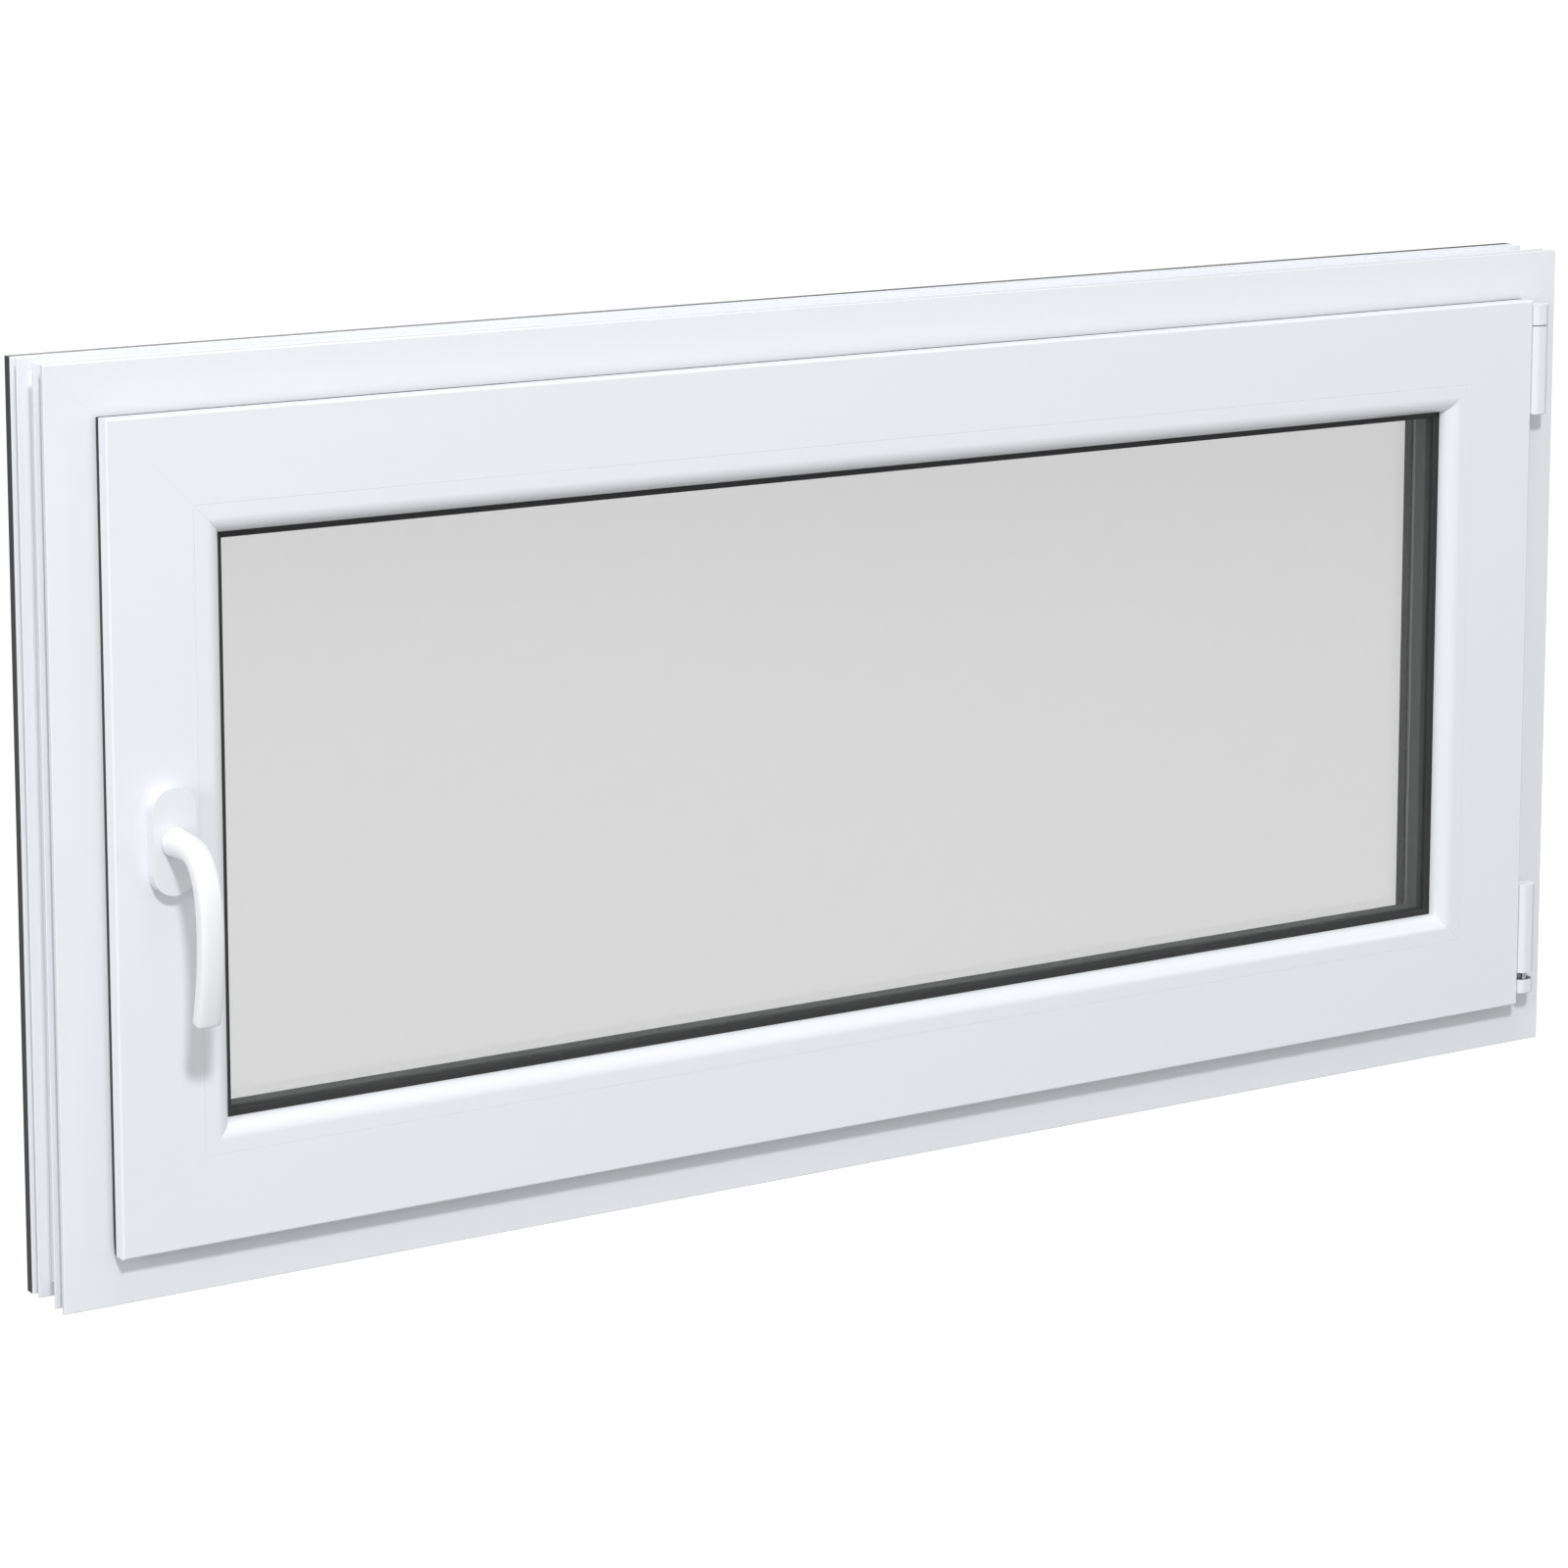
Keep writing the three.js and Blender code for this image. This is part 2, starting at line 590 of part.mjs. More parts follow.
function hinges() {
  const line = [HINGE_X, HINGE_DEPTH, 0];
  const sleeve = (inner, z0, z1, outer = SLEEVE_RADIUS) =>
    cut(rod("z", line, outer, z0, z1, 28), rod("z", line, inner, z0 - 1, z1 + 1, 24));

  // Bottom: a bearing on the frame, a cup that swivels in it, and a pin whose ball end tilts in the cup.
  const bracket = box([HINGE_X - 4, HINGE_DEPTH + 3, 44.4], [HINGE_X + 4, 0, 54.4]);
  const bearing = join(rod("z", line, 5.8, 44.4, 54.4, 28), bracket);
  const seat = rod("z", line, 4.9, 45.4, 55, 28);
  add("corner_bearing", ZINC, cut(bearing, seat));
  add("corner_bearing_cap", CAP_PLASTIC, hingeCap(43.4, 54.4, -HINGE_DEPTH - GAP, true, false, true));
  const cupOuter = rod("z", line, 4.8, 45.5, 54.2, 28);
  const taper = new THREE.CylinderGeometry(4.3, 2.6, 10, 24).rotateX(Math.PI / 2);
  const cupInner = join(
    rod("z", line, 2.6, 46.2, 49, 24),
    solid(taper.translate(HINGE_X, HINGE_DEPTH, 53)),
  );
  add("pivot_cup", ZINC, cut(cupOuter, cupInner));
  const ball = new THREE.SphereGeometry(2.4, 20, 12).translate(HINGE_X, HINGE_DEPTH, 49);
  add("bottom_hinge_pin", STEEL, join(solid(ball), rod("z", line, 2.2, 49, 122, 20)));

  // The sash's half: a sleeve over the pin, on a plate that passes behind the lip to the sash's side.
  const side = WIDTH / 2 - SASH_BODY + GAP;
  const plate = (z0, z1) => box([side, -3.6, z0], [HINGE_X, -1, z1]);
  const web = (z0, z1) => box([HINGE_X - 4, HINGE_DEPTH + 3, z0], [HINGE_X - 0.4, -3, z1]);
  const cheek = box([side, -3.6, 62], [side + 3, 30, 125]);
  const hinge = join(rod("z", line, SLEEVE_RADIUS, 61, 128, 28), web(62, 125), plate(62, 125), cheek);
  add("sash_hinge", STEEL, cut(hinge, rod("z", line, 2.3, 60, 123, 24)));
  add("sash_hinge_cap", CAP_PLASTIC, hingeCap(60, 130, 7.6, false, true, false));

  // Top: a bearing and its pin on the frame; the stay arm's knuckle sits on the pin's upper end.
  const post = box([HINGE_X - 4.5, HINGE_DEPTH + 3.6, 502], [HINGE_X + 4.5, 0, 561]);
  add("top_bearing", STEEL, join(sleeve(3.1, 500, 563.5), post));
  add("top_hinge_pin", STEEL, rod("z", line, 3, 499.5, 576.5, 24));
  add("top_bearing_cap", CAP_PLASTIC, hingeCap(497, 565, -HINGE_DEPTH - GAP, true, false, true));

  const bar = join(
    box([245, 3, 569], [HINGE_X - 18.5, 17, 572]),
    rod("z", [245, GROOVE_MID, 0], 7, 569, 572, 24),
    rod("z", [245, GROOVE_MID, 0], 4, 566.2, 570, 20),
  );
  const crank = box([HINGE_X - 26, -3.6, 569], [HINGE_X - 18.5, 6, 575]);
  const tongue = box([HINGE_X - 26, -3.6, 568], [HINGE_X, -1, 575.6]);
  const neck = box([HINGE_X - 4, HINGE_DEPTH + 3.4, 568], [HINGE_X - 0.4, -3, 575.6]);
  add("stay_arm", STEEL, join(bar, crank, tongue, sleeve(3.1, 567, 576), neck));
  add("stay_arm_cap", CAP_PLASTIC, hingeCap(565.8, 581.5, 7.6, false, true, false));
}

frame();
sash();
glazing();
lockGear();
gearbox();
strikers();
handle();
hinges();

export default part;
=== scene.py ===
import json
import math

import bmesh
import bpy
from mathutils import Matrix, Vector


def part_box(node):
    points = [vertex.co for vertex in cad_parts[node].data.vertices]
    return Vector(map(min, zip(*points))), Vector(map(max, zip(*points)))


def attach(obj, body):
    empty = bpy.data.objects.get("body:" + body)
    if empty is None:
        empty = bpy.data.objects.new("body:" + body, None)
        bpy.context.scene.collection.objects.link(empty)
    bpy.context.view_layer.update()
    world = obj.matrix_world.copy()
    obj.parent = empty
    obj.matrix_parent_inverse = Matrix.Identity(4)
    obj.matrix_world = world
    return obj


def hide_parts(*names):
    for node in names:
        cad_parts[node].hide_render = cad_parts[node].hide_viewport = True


bl_info = {
    "name": "Tilt-and-turn window",
    "version": (1, 0, 0),
    "blender": (4, 5, 0),
    "location": "View3D > Sidebar > Window",
    "description": "Builds the fine surface of a tilt-and-turn window round its packed model",
    "category": "Object",
}

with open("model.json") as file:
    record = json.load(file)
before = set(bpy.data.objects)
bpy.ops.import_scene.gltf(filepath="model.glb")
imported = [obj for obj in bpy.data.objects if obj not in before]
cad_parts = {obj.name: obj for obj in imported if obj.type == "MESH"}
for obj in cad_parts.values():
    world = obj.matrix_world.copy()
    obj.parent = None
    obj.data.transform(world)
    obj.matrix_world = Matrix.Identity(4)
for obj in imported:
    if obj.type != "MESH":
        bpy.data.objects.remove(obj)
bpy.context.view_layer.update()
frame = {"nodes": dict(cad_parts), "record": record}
BODIES = frame["record"]["behaviour"]["bodies"]
BODY_OF = {name: body for body, names in BODIES.items() for name in names}
SLOT_OF = {row["node"]: row["material_slot"] for row in frame["record"]["subparts"]}

MM = 0.001
SIDES = ("sill", "head", "lock", "hinge")
OUTLINE_LOW, OUTLINE_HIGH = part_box("frame_cover")
ROOM_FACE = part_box("frame_sill")[0].y
SASH_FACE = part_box("sash_sill")[0].y
MIDDLE_Z = (OUTLINE_LOW.z + OUTLINE_HIGH.z) / 2

# Sections, in millimetres: insets count inward from the outline, depths outward from the frame's room face.
FRAME_EDGE = 43  # inset of the frame's inner edge, in front of the stop
STOP_DEPTH = 46  # depth at which the stop for the sash begins
COVER_LEG = 52.2  # depth at which the frame cover's side leg begins
LEG_WALL = 1.8  # wall of the frame cover's two legs
SASH_BODY = 55  # inset of the sash's side, behind its lip
LIP_BACK = -4.5  # depth of the back of the sash's lip
BEAD_EDGE = 95  # inset of the glazing beads' outer edge
SPACER_WIDE = 19.5
INNER_SEAL_WIDE = 14.2
OUTER_SEAL_WIDE = 8.6

SHARP_ANGLE = math.radians(35)


def section_box(name):
    """Lowest and highest inset, and front and back depth, of a node on the sill's side.

    A ring reaches round to the far side, so only its lowest inset and its depths can be used.
    """
    low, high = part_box(name)
    insets = [(z - OUTLINE_LOW.z) / MM for z in (low.z, high.z)]
    depths = [(y - ROOM_FACE) / MM for y in (low.y, high.y)]
    return insets[0], insets[1], depths[0], depths[1]


# ---- Sizes and colours ----


def length_property(name, description, millimetres):
    return bpy.props.FloatProperty(
        name=name, description=description, default=millimetres * MM, min=0, subtype="DISTANCE", unit="LENGTH"
    )


def colour_property(name, description, colour):
    return bpy.props.FloatVectorProperty(
        name=name, description=description, default=colour, size=3, min=0, max=1, subtype="COLOR"
    )


class WindowSizes(bpy.types.PropertyGroup):
    """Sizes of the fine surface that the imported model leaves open."""

    weld_seam: length_property("Weld seam", "Half width of the groove at a welded mitre", 0.04)
    bead_seam: length_property("Bead seam", "Half width of the joint at a bead's mitre", 0.14)
    lip_round: length_property("Lip rounding", "Rounding of the sash's room-side edge", 1.6)
    bead_round: length_property("Bead rounding", "Rounding of a glazing bead towards the glass", 11.5)
    cap_wall: length_property("Cap wall", "Wall of the hinge caps", 0.7)
    cap_round: length_property("Cap rounding", "Rounding of the hinge caps' ends", 1.1)
    grip_wide: length_property("Grip width", "Width of the lever's grip", 17.8)
    grip_thick: length_property("Grip thickness", "Thickness of the lever's grip", 12.4)
    screw_head: length_property("Screw head", "Radius of the countersunk screw heads", 3.4)


class WindowColours(bpy.types.PropertyGroup):
    """Colours of the finishes."""

    profile: colour_property("Profile", "White PVC of the frame, sash and beads", (0.80, 0.815, 0.855))
    cap: colour_property("Caps", "White plastic of the hinge caps and the rosette", (0.785, 0.797, 0.83))
    lever: colour_property("Lever", "Powder coat of the handle", (0.84, 0.85, 0.875))
    cover: colour_property("Covers", "Anthracite powder coat outside", (0.042, 0.047, 0.052))
    rubber: colour_property("Seals", "Black rubber", (0.026, 0.026, 0.027))
    spacer: colour_property("Spacer", "Dark grey spacer between the panes", (0.013, 0.0135, 0.014))
    glass: colour_property("Glass", "Tint of each pane", (0.765, 0.768, 0.765))
    steel: colour_property("Steel", "Zinc-plated steel", (0.62, 0.63, 0.65))
    zinc: colour_property("Die-cast zinc", "Strikers, gearbox and bearings", (0.50, 0.51, 0.53))
    block: colour_property("Blocks", "Plastic blocks under the glass", (0.03, 0.13, 0.38))
    floor: colour_property("Floor", "Plain floor of the stage", (0.25, 0.25, 0.25))


def sizes():
    return bpy.context.scene.window_sizes


def colours():
    return bpy.context.scene.window_colours


# ---- Node groups and finishes ----


def link(tree, start, output, end, entry):
    tree.links.new(start.outputs[output], end.inputs[entry])


def node(tree, kind, **values):
    """A new shader node; a name with a capital sets an input, any other an attribute."""
    made = tree.nodes.new(kind)
    for key, value in values.items():
        if key[0].isupper():
            made.inputs[key.replace("_", " ")].default_value = value
        else:
            setattr(made, key, value)
    return made


# Sockets of a mix node that mixes colours; its names stand for several sockets, so they go by number.
MIX_FACTOR, MIX_FIRST, MIX_SECOND, MIX_RESULT = 0, 6, 7, 2


def colour_mix(tree, first, second):
    """A node that goes from the first colour to the second by its factor."""
    mix = node(tree, "ShaderNodeMix", data_type="RGBA")
    mix.inputs[MIX_FIRST].default_value = (*first, 1.0)
    mix.inputs[MIX_SECOND].default_value = (*second, 1.0)
    return mix


def new_group(name, inputs, outputs):
    group = bpy.data.node_groups.new(name, "ShaderNodeTree")
    for label, kind, value in inputs:
        socket = group.interface.new_socket(label, in_out="INPUT", socket_type=kind)
        if value is not None:
            socket.default_value = value
    for label, kind in outputs:
        group.interface.new_socket(label, in_out="OUTPUT", socket_type=kind)
    return group, group.nodes.new("NodeGroupInput"), group.nodes.new("NodeGroupOutput")


def moulded_grain():
    """Fine grain with slow clouds under it, as on moulded plastic, powder coat and cast metal."""
    if "Moulded grain" in bpy.data.node_groups:
        return bpy.data.node_groups["Moulded grain"]
    group, start, end = new_group(
        "Moulded grain",
        [
            ("Vector", "NodeSocketVector", None),
            ("Grain Scale", "NodeSocketFloat", 1500.0),
            ("Cloud Scale", "NodeSocketFloat", 6.0),
        ],
        [("Height", "NodeSocketFloat"), ("Cloud", "NodeSocketFloat")],
    )
    grain = node(group, "ShaderNodeTexNoise", Detail=3.0, Roughness=0.55)
    cloud = node(group, "ShaderNodeTexNoise", Detail=4.0, Roughness=0.6)
    link(group, start, "Vector", grain, "Vector")
    link(group, start, "Grain Scale", grain, "Scale")
    link(group, start, "Vector", cloud, "Vector")
    link(group, start, "Cloud Scale", cloud, "Scale")
    link(group, grain, "Fac", end, "Height")
    link(group, cloud, "Fac", end, "Cloud")
    return group


def drawn_streaks():
    """Faint streaks along the vector's third axis, as a die leaves on a drawn bar or a rolled strip."""
    if "Drawn streaks" in bpy.data.node_groups:
        return bpy.data.node_groups["Drawn streaks"]
    group, start, end = new_group(
        "Drawn streaks",
        [("Vector", "NodeSocketVector", None), ("Scale", "NodeSocketFloat", 400.0)],
        [("Streak", "NodeSocketFloat")],
    )
    stretch = node(group, "ShaderNodeMapping", Scale=(1.0, 1.0, 0.006))
    noise = node(group, "ShaderNodeTexNoise", Detail=2.0, Roughness=0.5)
    link(group, start, "Vector", stretch, "Vector")
    link(group, stretch, "Vector", noise, "Vector")
    link(group, start, "Scale", noise, "Scale")
    link(group, noise, "Fac", end, "Streak")
    return group


def finish(
    name,
    colour,
    roughness,
    metallic=0.0,
    grain=1500.0,
    bump=0.06,
    clouds=0.04,
    streaks=0.0,
    spread=0.2,
    coat=0.0,
    along_bar=False,
):
    """A finish with clouds in its colour and roughness, and grain and streaks in its bump.

    The texture lies in the object's coordinates, or along each bar by the "profile" attribute.
    """
    if name in bpy.data.materials:
        return bpy.data.materials[name]
    material = bpy.data.materials.new(name)
    material.use_nodes = True
    tree = material.node_tree
    shader = tree.nodes["Principled BSDF"]
    shader.inputs["Metallic"].default_value = metallic
    shader.inputs["Coat Weight"].default_value = coat
    shader.inputs["Coat Roughness"].default_value = 0.15
    if along_bar:
        place = node(tree, "ShaderNodeAttribute", attribute_name="profile")
        vector = "Vector"
    else:
        place = node(tree, "ShaderNodeTexCoord")
        vector = "Object"
    plastic = node(tree, "ShaderNodeGroup", node_tree=moulded_grain(), Grain_Scale=grain)
    drawn = node(tree, "ShaderNodeGroup", node_tree=drawn_streaks())
    link(tree, place, vector, plastic, "Vector")
    link(tree, place, vector, drawn, "Vector")

    darker = [channel * (1.0 - 2.0 * clouds) for channel in colour]
    tint = colour_mix(tree, darker, colour)
    link(tree, plastic, "Cloud", tint, MIX_FACTOR)
    link(tree, tint, MIX_RESULT, shader, "Base Color")

    gloss = node(tree, "ShaderNodeMapRange")
    gloss.inputs["To Min"].default_value = roughness * (1 - spread)
    gloss.inputs["To Max"].default_value = min(roughness * (1 + spread), 1.0)
    link(tree, plastic, "Cloud", gloss, "Value")
    link(tree, gloss, "Result", shader, "Roughness")

    relief = node(tree, "ShaderNodeMath", operation="MULTIPLY_ADD")
    relief.inputs[1].default_value = streaks
    link(tree, drawn, "Streak", relief, 0)
    link(tree, plastic, "Height", relief, 2)
    raised = node(tree, "ShaderNodeBump", Strength=bump, Distance=0.0002)
    link(tree, relief, "Value", raised, "Height")
    link(tree, raised, "Normal", shader, "Normal")
    return material


def profile_finish():
    return finish(
        "white profile",
        colours().profile,
        0.27,
        bump=0.03,
        clouds=0.002,
        streaks=2.0,
        spread=0.03,
        along_bar=True,
    )


def cap_finish():
    return finish("white cap plastic", colours().cap, 0.3, bump=0.05, clouds=0.01)


def lever_finish():
    coat = colours().lever
    return finish("white lever coat", coat, 0.25, grain=900.0, bump=0.03, clouds=0.01, coat=0.3)


def cover_finish():
    coat = colours().cover
    return finish("anthracite coat", coat, 0.48, grain=2600.0, bump=0.3, clouds=0.08, along_bar=True)


def rubber_finish():
    rubber = colours().rubber
    return finish("black rubber", rubber, 0.62, bump=0.12, clouds=0.15, streaks=1.0, along_bar=True)


def steel_finish():
    return finish("plated steel", colours().steel, 0.32, 1.0, bump=0.1, clouds=0.06, streaks=1.5)


def zinc_finish():
    return finish("die-cast zinc", colours().zinc, 0.45, 1.0, grain=1100.0, bump=0.25, clouds=0.1)


def block_finish():
    return finish("block plastic", colours().block, 0.45, bump=0.1, clouds=0.05)


# Holes in the spacer, in millimetres: the distance from one to the next, through the unit and along the bar
HOLE_PITCHES = (("Y", 6.3), ("Z", 4.0))
HOLE_HALF = 0.4


def spacer_finish():
    """Dark spacer with rows of fine holes along the face between the panes."""
    name = "spacer"
    if name in bpy.data.materials:
        return bpy.data.materials[name]
    material = finish(name, colours().spacer, 0.55, bump=0.08, clouds=0.05, along_bar=True)
    tree = material.node_tree
    shader = tree.nodes["Principled BSDF"]
    plain = shader.inputs["Base Color"].links[0].from_node
    place = next(made for made in tree.nodes if made.type == "ATTRIBUTE")
    parts = node(tree, "ShaderNodeSeparateXYZ")
    link(tree, place, "Vector", parts, "Vector")
    hole = node(tree, "ShaderNodeMath", operation="MULTIPLY")
    for entry, (axis, pitch) in enumerate(HOLE_PITCHES):
        wave = node(tree, "ShaderNodeMath", operation="PINGPONG")
        wave.inputs[1].default_value = pitch * MM / 2
        near = node(tree, "ShaderNodeMath", operation="LESS_THAN")
        near.inputs[1].default_value = HOLE_HALF * MM
        link(tree, parts, axis, wave, 0)
        link(tree, wave, "Value", near, 0)
        link(tree, near, "Value", hole, entry)
    dark = colour_mix(tree, (0, 0, 0), (0.004, 0.004, 0.004))
    link(tree, plain, MIX_RESULT, dark, MIX_FIRST)
    link(tree, hole, "Value", dark, MIX_FACTOR)
    link(tree, dark, MIX_RESULT, shader, "Base Color")
    return material


def glass_finish():
    """Clear tinted glass, a little uneven in tint and gloss."""
    name = "float glass"
    if name in bpy.data.materials:
        return bpy.data.materials[name]
    material = bpy.data.materials.new(name)
    material.use_nodes = True
    tree = material.node_tree
    shader = tree.nodes["Principled BSDF"]
    shader.inputs["Transmission Weight"].default_value = 1.0
    shader.inputs["IOR"].default_value = 1.5
    place = node(tree, "ShaderNodeTexCoord")
    wave = node(tree, "ShaderNodeTexNoise", Scale=1.6, Detail=1.0)
    link(tree, place, "Object", wave, "Vector")
    tint = colour_mix(tree, [channel * 0.99 for channel in colours().glass], colours().glass)
    link(tree, wave, "Fac", tint, MIX_FACTOR)
    link(tree, tint, MIX_RESULT, shader, "Base Color")
    gloss = node(tree, "ShaderNodeMapRange")
    gloss.inputs["To Min"].default_value = 0.0
    gloss.inputs["To Max"].default_value = 0.012
    link(tree, wave, "Fac", gloss, "Value")
    link(tree, gloss, "Result", shader, "Roughness")
    return material


FINISHES = {
    "pvc": profile_finish,
    "cap_plastic": cap_finish,
    "handle_coat": lever_finish,
    "anthracite": cover_finish,
    "seal": rubber_finish,
    "spacer": spacer_finish,
    "glass": glass_finish,
    "steel": steel_finish,
    "zinc": zinc_finish,
    "block": block_finish,
}


# ---- Making pieces ----


def place_piece(name, bm, body, slot):
    """Makes an object of a finished bmesh, smooth but for its sharp edges, that rides on a body."""
    for face in bm.faces:
        face.smooth = True
    mesh = bpy.data.meshes.new(name)
    bm.to_mesh(mesh)
    bm.free()
    mesh.set_sharp_from_angle(angle=SHARP_ANGLE)
    mesh.materials.append(FINISHES[slot]())
    piece = bpy.data.objects.new(name, mesh)
    bpy.context.scene.collection.objects.link(piece)
    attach(piece, body)
    return piece


def new_piece(name, bm, body, slot, *replaced):
    """Places a modelled piece, with even shading over its wide faces."""
    bmesh.ops.recalc_face_normals(bm, faces=bm.faces)
    piece = place_piece(name, bm, body, slot)
    piece.modifiers.new("Even normals", "WEIGHTED_NORMAL").keep_sharp = True
    if replaced:
        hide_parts(*replaced)
    return piece


def refined(node_name, bevel=0.3):
    """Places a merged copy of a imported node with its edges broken."""
    bm = bmesh.new()
    bm.from_mesh(frame["nodes"][node_name].data)
    bmesh.ops.remove_doubles(bm, verts=bm.verts, dist=2e-6)
    bmesh.ops.dissolve_limit(bm, angle_limit=math.radians(1), verts=bm.verts, edges=bm.edges)
    store_profile(bm)
    piece = place_piece(node_name + "_fine", bm, BODY_OF[node_name], SLOT_OF[node_name])
    broken = piece.modifiers.new("Broken edges", "BEVEL")
    broken.width = bevel * MM
    broken.segments = 2
    broken.limit_method = "ANGLE"
    broken.angle_limit = SHARP_ANGLE
    broken.harden_normals = True
    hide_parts(node_name)


def store_profile(bm):
    """Keeps each vertex's present place for the finishes that run along a bar."""
    profile = bm.verts.layers.float_vector.new("profile")
    for vert in bm.verts:
        vert[profile] = vert.co


def rounded(bm, geom, affect, radius, segments):
    """Rounds corners (affect VERTICES) or edges (affect EDGES)."""
    bmesh.ops.bevel(
        bm,
        geom=geom,
        offset=radius,
        offset_type="OFFSET",
        segments=segments,
        profile=0.5,
        affect=affect,
        clamp_overlap=True,
        material=-1,
    )


def flat_section(bm, points):
    """A flat face through points of (x, y) or (x, y, radius) in millimetres; a radius rounds that corner."""
    corners = [bm.verts.new((point[0] * MM, point[1] * MM, 0)) for point in points]
    bm.faces.new(corners)
    radii = {}
    for corner, point in zip(corners, points):
        if len(point) > 2:
            radii.setdefault(point[2], []).append(corner)
    for radius, verts in radii.items():
        segments = max(2, min(14, round(2 + radius * 1.3)))
        rounded(bm, verts, "VERTICES", radius * MM, segments)


def raise_section(bm, height):
    """Extrudes the flat section along its third axis."""
    raised = bmesh.ops.extrude_face_region(bm, geom=list(bm.faces), use_keep_orig=True)["geom"]
    top = [item for item in raised if isinstance(item, bmesh.types.BMVert)]
    bmesh.ops.translate(bm, verts=top, vec=(0, 0, height))


SIDE_PLACES = {
    "sill": (Vector((0, ROOM_FACE, OUTLINE_LOW.z)), Vector((0, 0, 1)), Vector((1, 0, 0))),
    "head": (Vector((0, ROOM_FACE, OUTLINE_HIGH.z)), Vector((0, 0, -1)), Vector((1, 0, 0))),
    "lock": (Vector((OUTLINE_LOW.x, ROOM_FACE, MIDDLE_Z)), Vector((1, 0, 0)), Vector((0, 0, 1))),
    "hinge": (Vector((OUTLINE_HIGH.x, ROOM_FACE, MIDDLE_Z)), Vector((-1, 0, 0)), Vector((0, 0, 1))),
}


def side_matrix(side):
    """Turns (inset, depth, along) into the window's own frame."""
    origin, inward, along = SIDE_PLACES[side]
    turn = Matrix((inward, Vector((0, 1, 0)), along)).transposed()
    return Matrix.Translation(origin) @ turn.to_4x4()


def side_length(side):
    if side in ("sill", "head"):
        return OUTLINE_HIGH.x - OUTLINE_LOW.x
    return OUTLINE_HIGH.z - OUTLINE_LOW.z


def profile_bar(target, side, points, seam):
    """Adds one bar to the target bmesh: a section drawn along one side of the window, with mitred ends.

    The seam is the bevel round each mitre; two bars that meet leave a groove twice as wide.
    """
    bm = bmesh.new()
    flat_section(bm, points)
    length = side_length(side)
    raise_section(bm, length)
    if seam > 0:
        rims = {edge for face in bm.faces if is_end(face) for edge in face.edges}
        rounded(bm, list(rims), "EDGES", seam, 1)
    for slope, verts in (
        (1.0, [vert for vert in bm.verts if vert.co.z < length / 2]),
        (-1.0, [vert for vert in bm.verts if vert.co.z >= length / 2]),
    ):
        mitre = Matrix.Identity(4)
        mitre[2][0] = slope
        bmesh.ops.transform(bm, matrix=mitre, verts=verts)
    bmesh.ops.translate(bm, verts=bm.verts, vec=(0, 0, -length / 2))
    store_profile(bm)
    bmesh.ops.transform(bm, matrix=side_matrix(side), verts=bm.verts)
    bmesh.ops.recalc_face_normals(bm, faces=bm.faces)
    merge_into(target, bm)


def is_end(face):
    """Whether a face of a raised section lies flat across the bar."""
    return len({round(vert.co.z, 7) for vert in face.verts}) == 1


def merge_into(target, bm):
    """Moves a bmesh's contents into the target."""
    mesh = bpy.data.meshes.new("part")
    bm.to_mesh(mesh)
    bm.free()
    target.from_mesh(mesh)
    bpy.data.meshes.remove(mesh)


def bars(names, points, seam, slot, body):
    """One piece for each side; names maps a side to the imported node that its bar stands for."""
    for side, replaced in names.items():
        bm = bmesh.new()
        profile_bar(bm, side, points, seam)
        new_piece(replaced + "_profile", bm, body, slot, replaced)


def surround(name, points, seam, slot, replaced):
    """One piece with a bar on all four sides."""
    bm = bmesh.new()
    for side in SIDES:
        profile_bar(bm, side, points, seam)
    new_piece(name, bm, BODY_OF[replaced], slot, replaced)


# ---- Frame ----


def build_frame():
    """Mitred bars with two deep grooves and a shallow one in their outer edge, and what sits on them."""
    _, stop, _, back = section_box("frame_sill")
    deep, shallow = 10, 6
    outside = section_box("frame_cover")[3]
    rim = stop + 2.1
    inner_leg = 48
    section = [
        (0, 0, 0.7),
        (0, 4, 0.5),
        (deep, 4, 1.0),
        (deep, 14.5, 1.0),
        (0, 14.5, 0.6),
        (0, 16.5, 0.6),
        (deep, 16.5, 1.0),
        (deep, 40.5, 1.0),
        (0, 40.5, 0.6),
        (0, 42.5, 0.6),
        (shallow, 42.5, 0.8),
        (shallow, 50.3, 0.8),
        (0, 50.3, 0.6),
        (0, COVER_LEG - 0.1, 0.6),
        (LEG_WALL + 0.3, COVER_LEG - 0.1),
        (LEG_WALL + 0.3, back),
        (stop, back),
        (stop, STOP_DEPTH, 0.3),
        (FRAME_EDGE, STOP_DEPTH, 1.2),
        (FRAME_EDGE, 0, 1.4),
    ]
    names = {
        "sill": "frame_sill",
        "head": "frame_head",
        "lock": "frame_jamb_lock",
        "hinge": "frame_jamb_hinge",
    }
    bars(names, section, sizes().weld_seam, "pvc", "frame")
    cover = [
        (0, COVER_LEG, 0.3),
        (0, outside, 0.9),
        (rim, outside, 0.9),
        (rim, inner_leg, 0.3),
        (rim - LEG_WALL, inner_leg, 0.3),
        (rim - LEG_WALL, outside - 2),
        (LEG_WALL, outside - 2),
        (LEG_WALL, COVER_LEG, 0.3),
    ]
    surround("frame_outer_cover", cover, sizes().bead_seam, "anthracite", "frame_cover")
    foot = STOP_DEPTH - 0.1
    seal = [(56, foot), (60, foot), (60.5, 43.2, 0.6), (58.2, 42.4, 0.9), (55.5, 43.2, 0.8)]
    surround("frame_stop_seal", seal, 0, "seal", "frame_seal")
    for name in ("drain_cap_left", "drain_cap_right"):
        refined(name, 0.5)


# ---- Sash ----


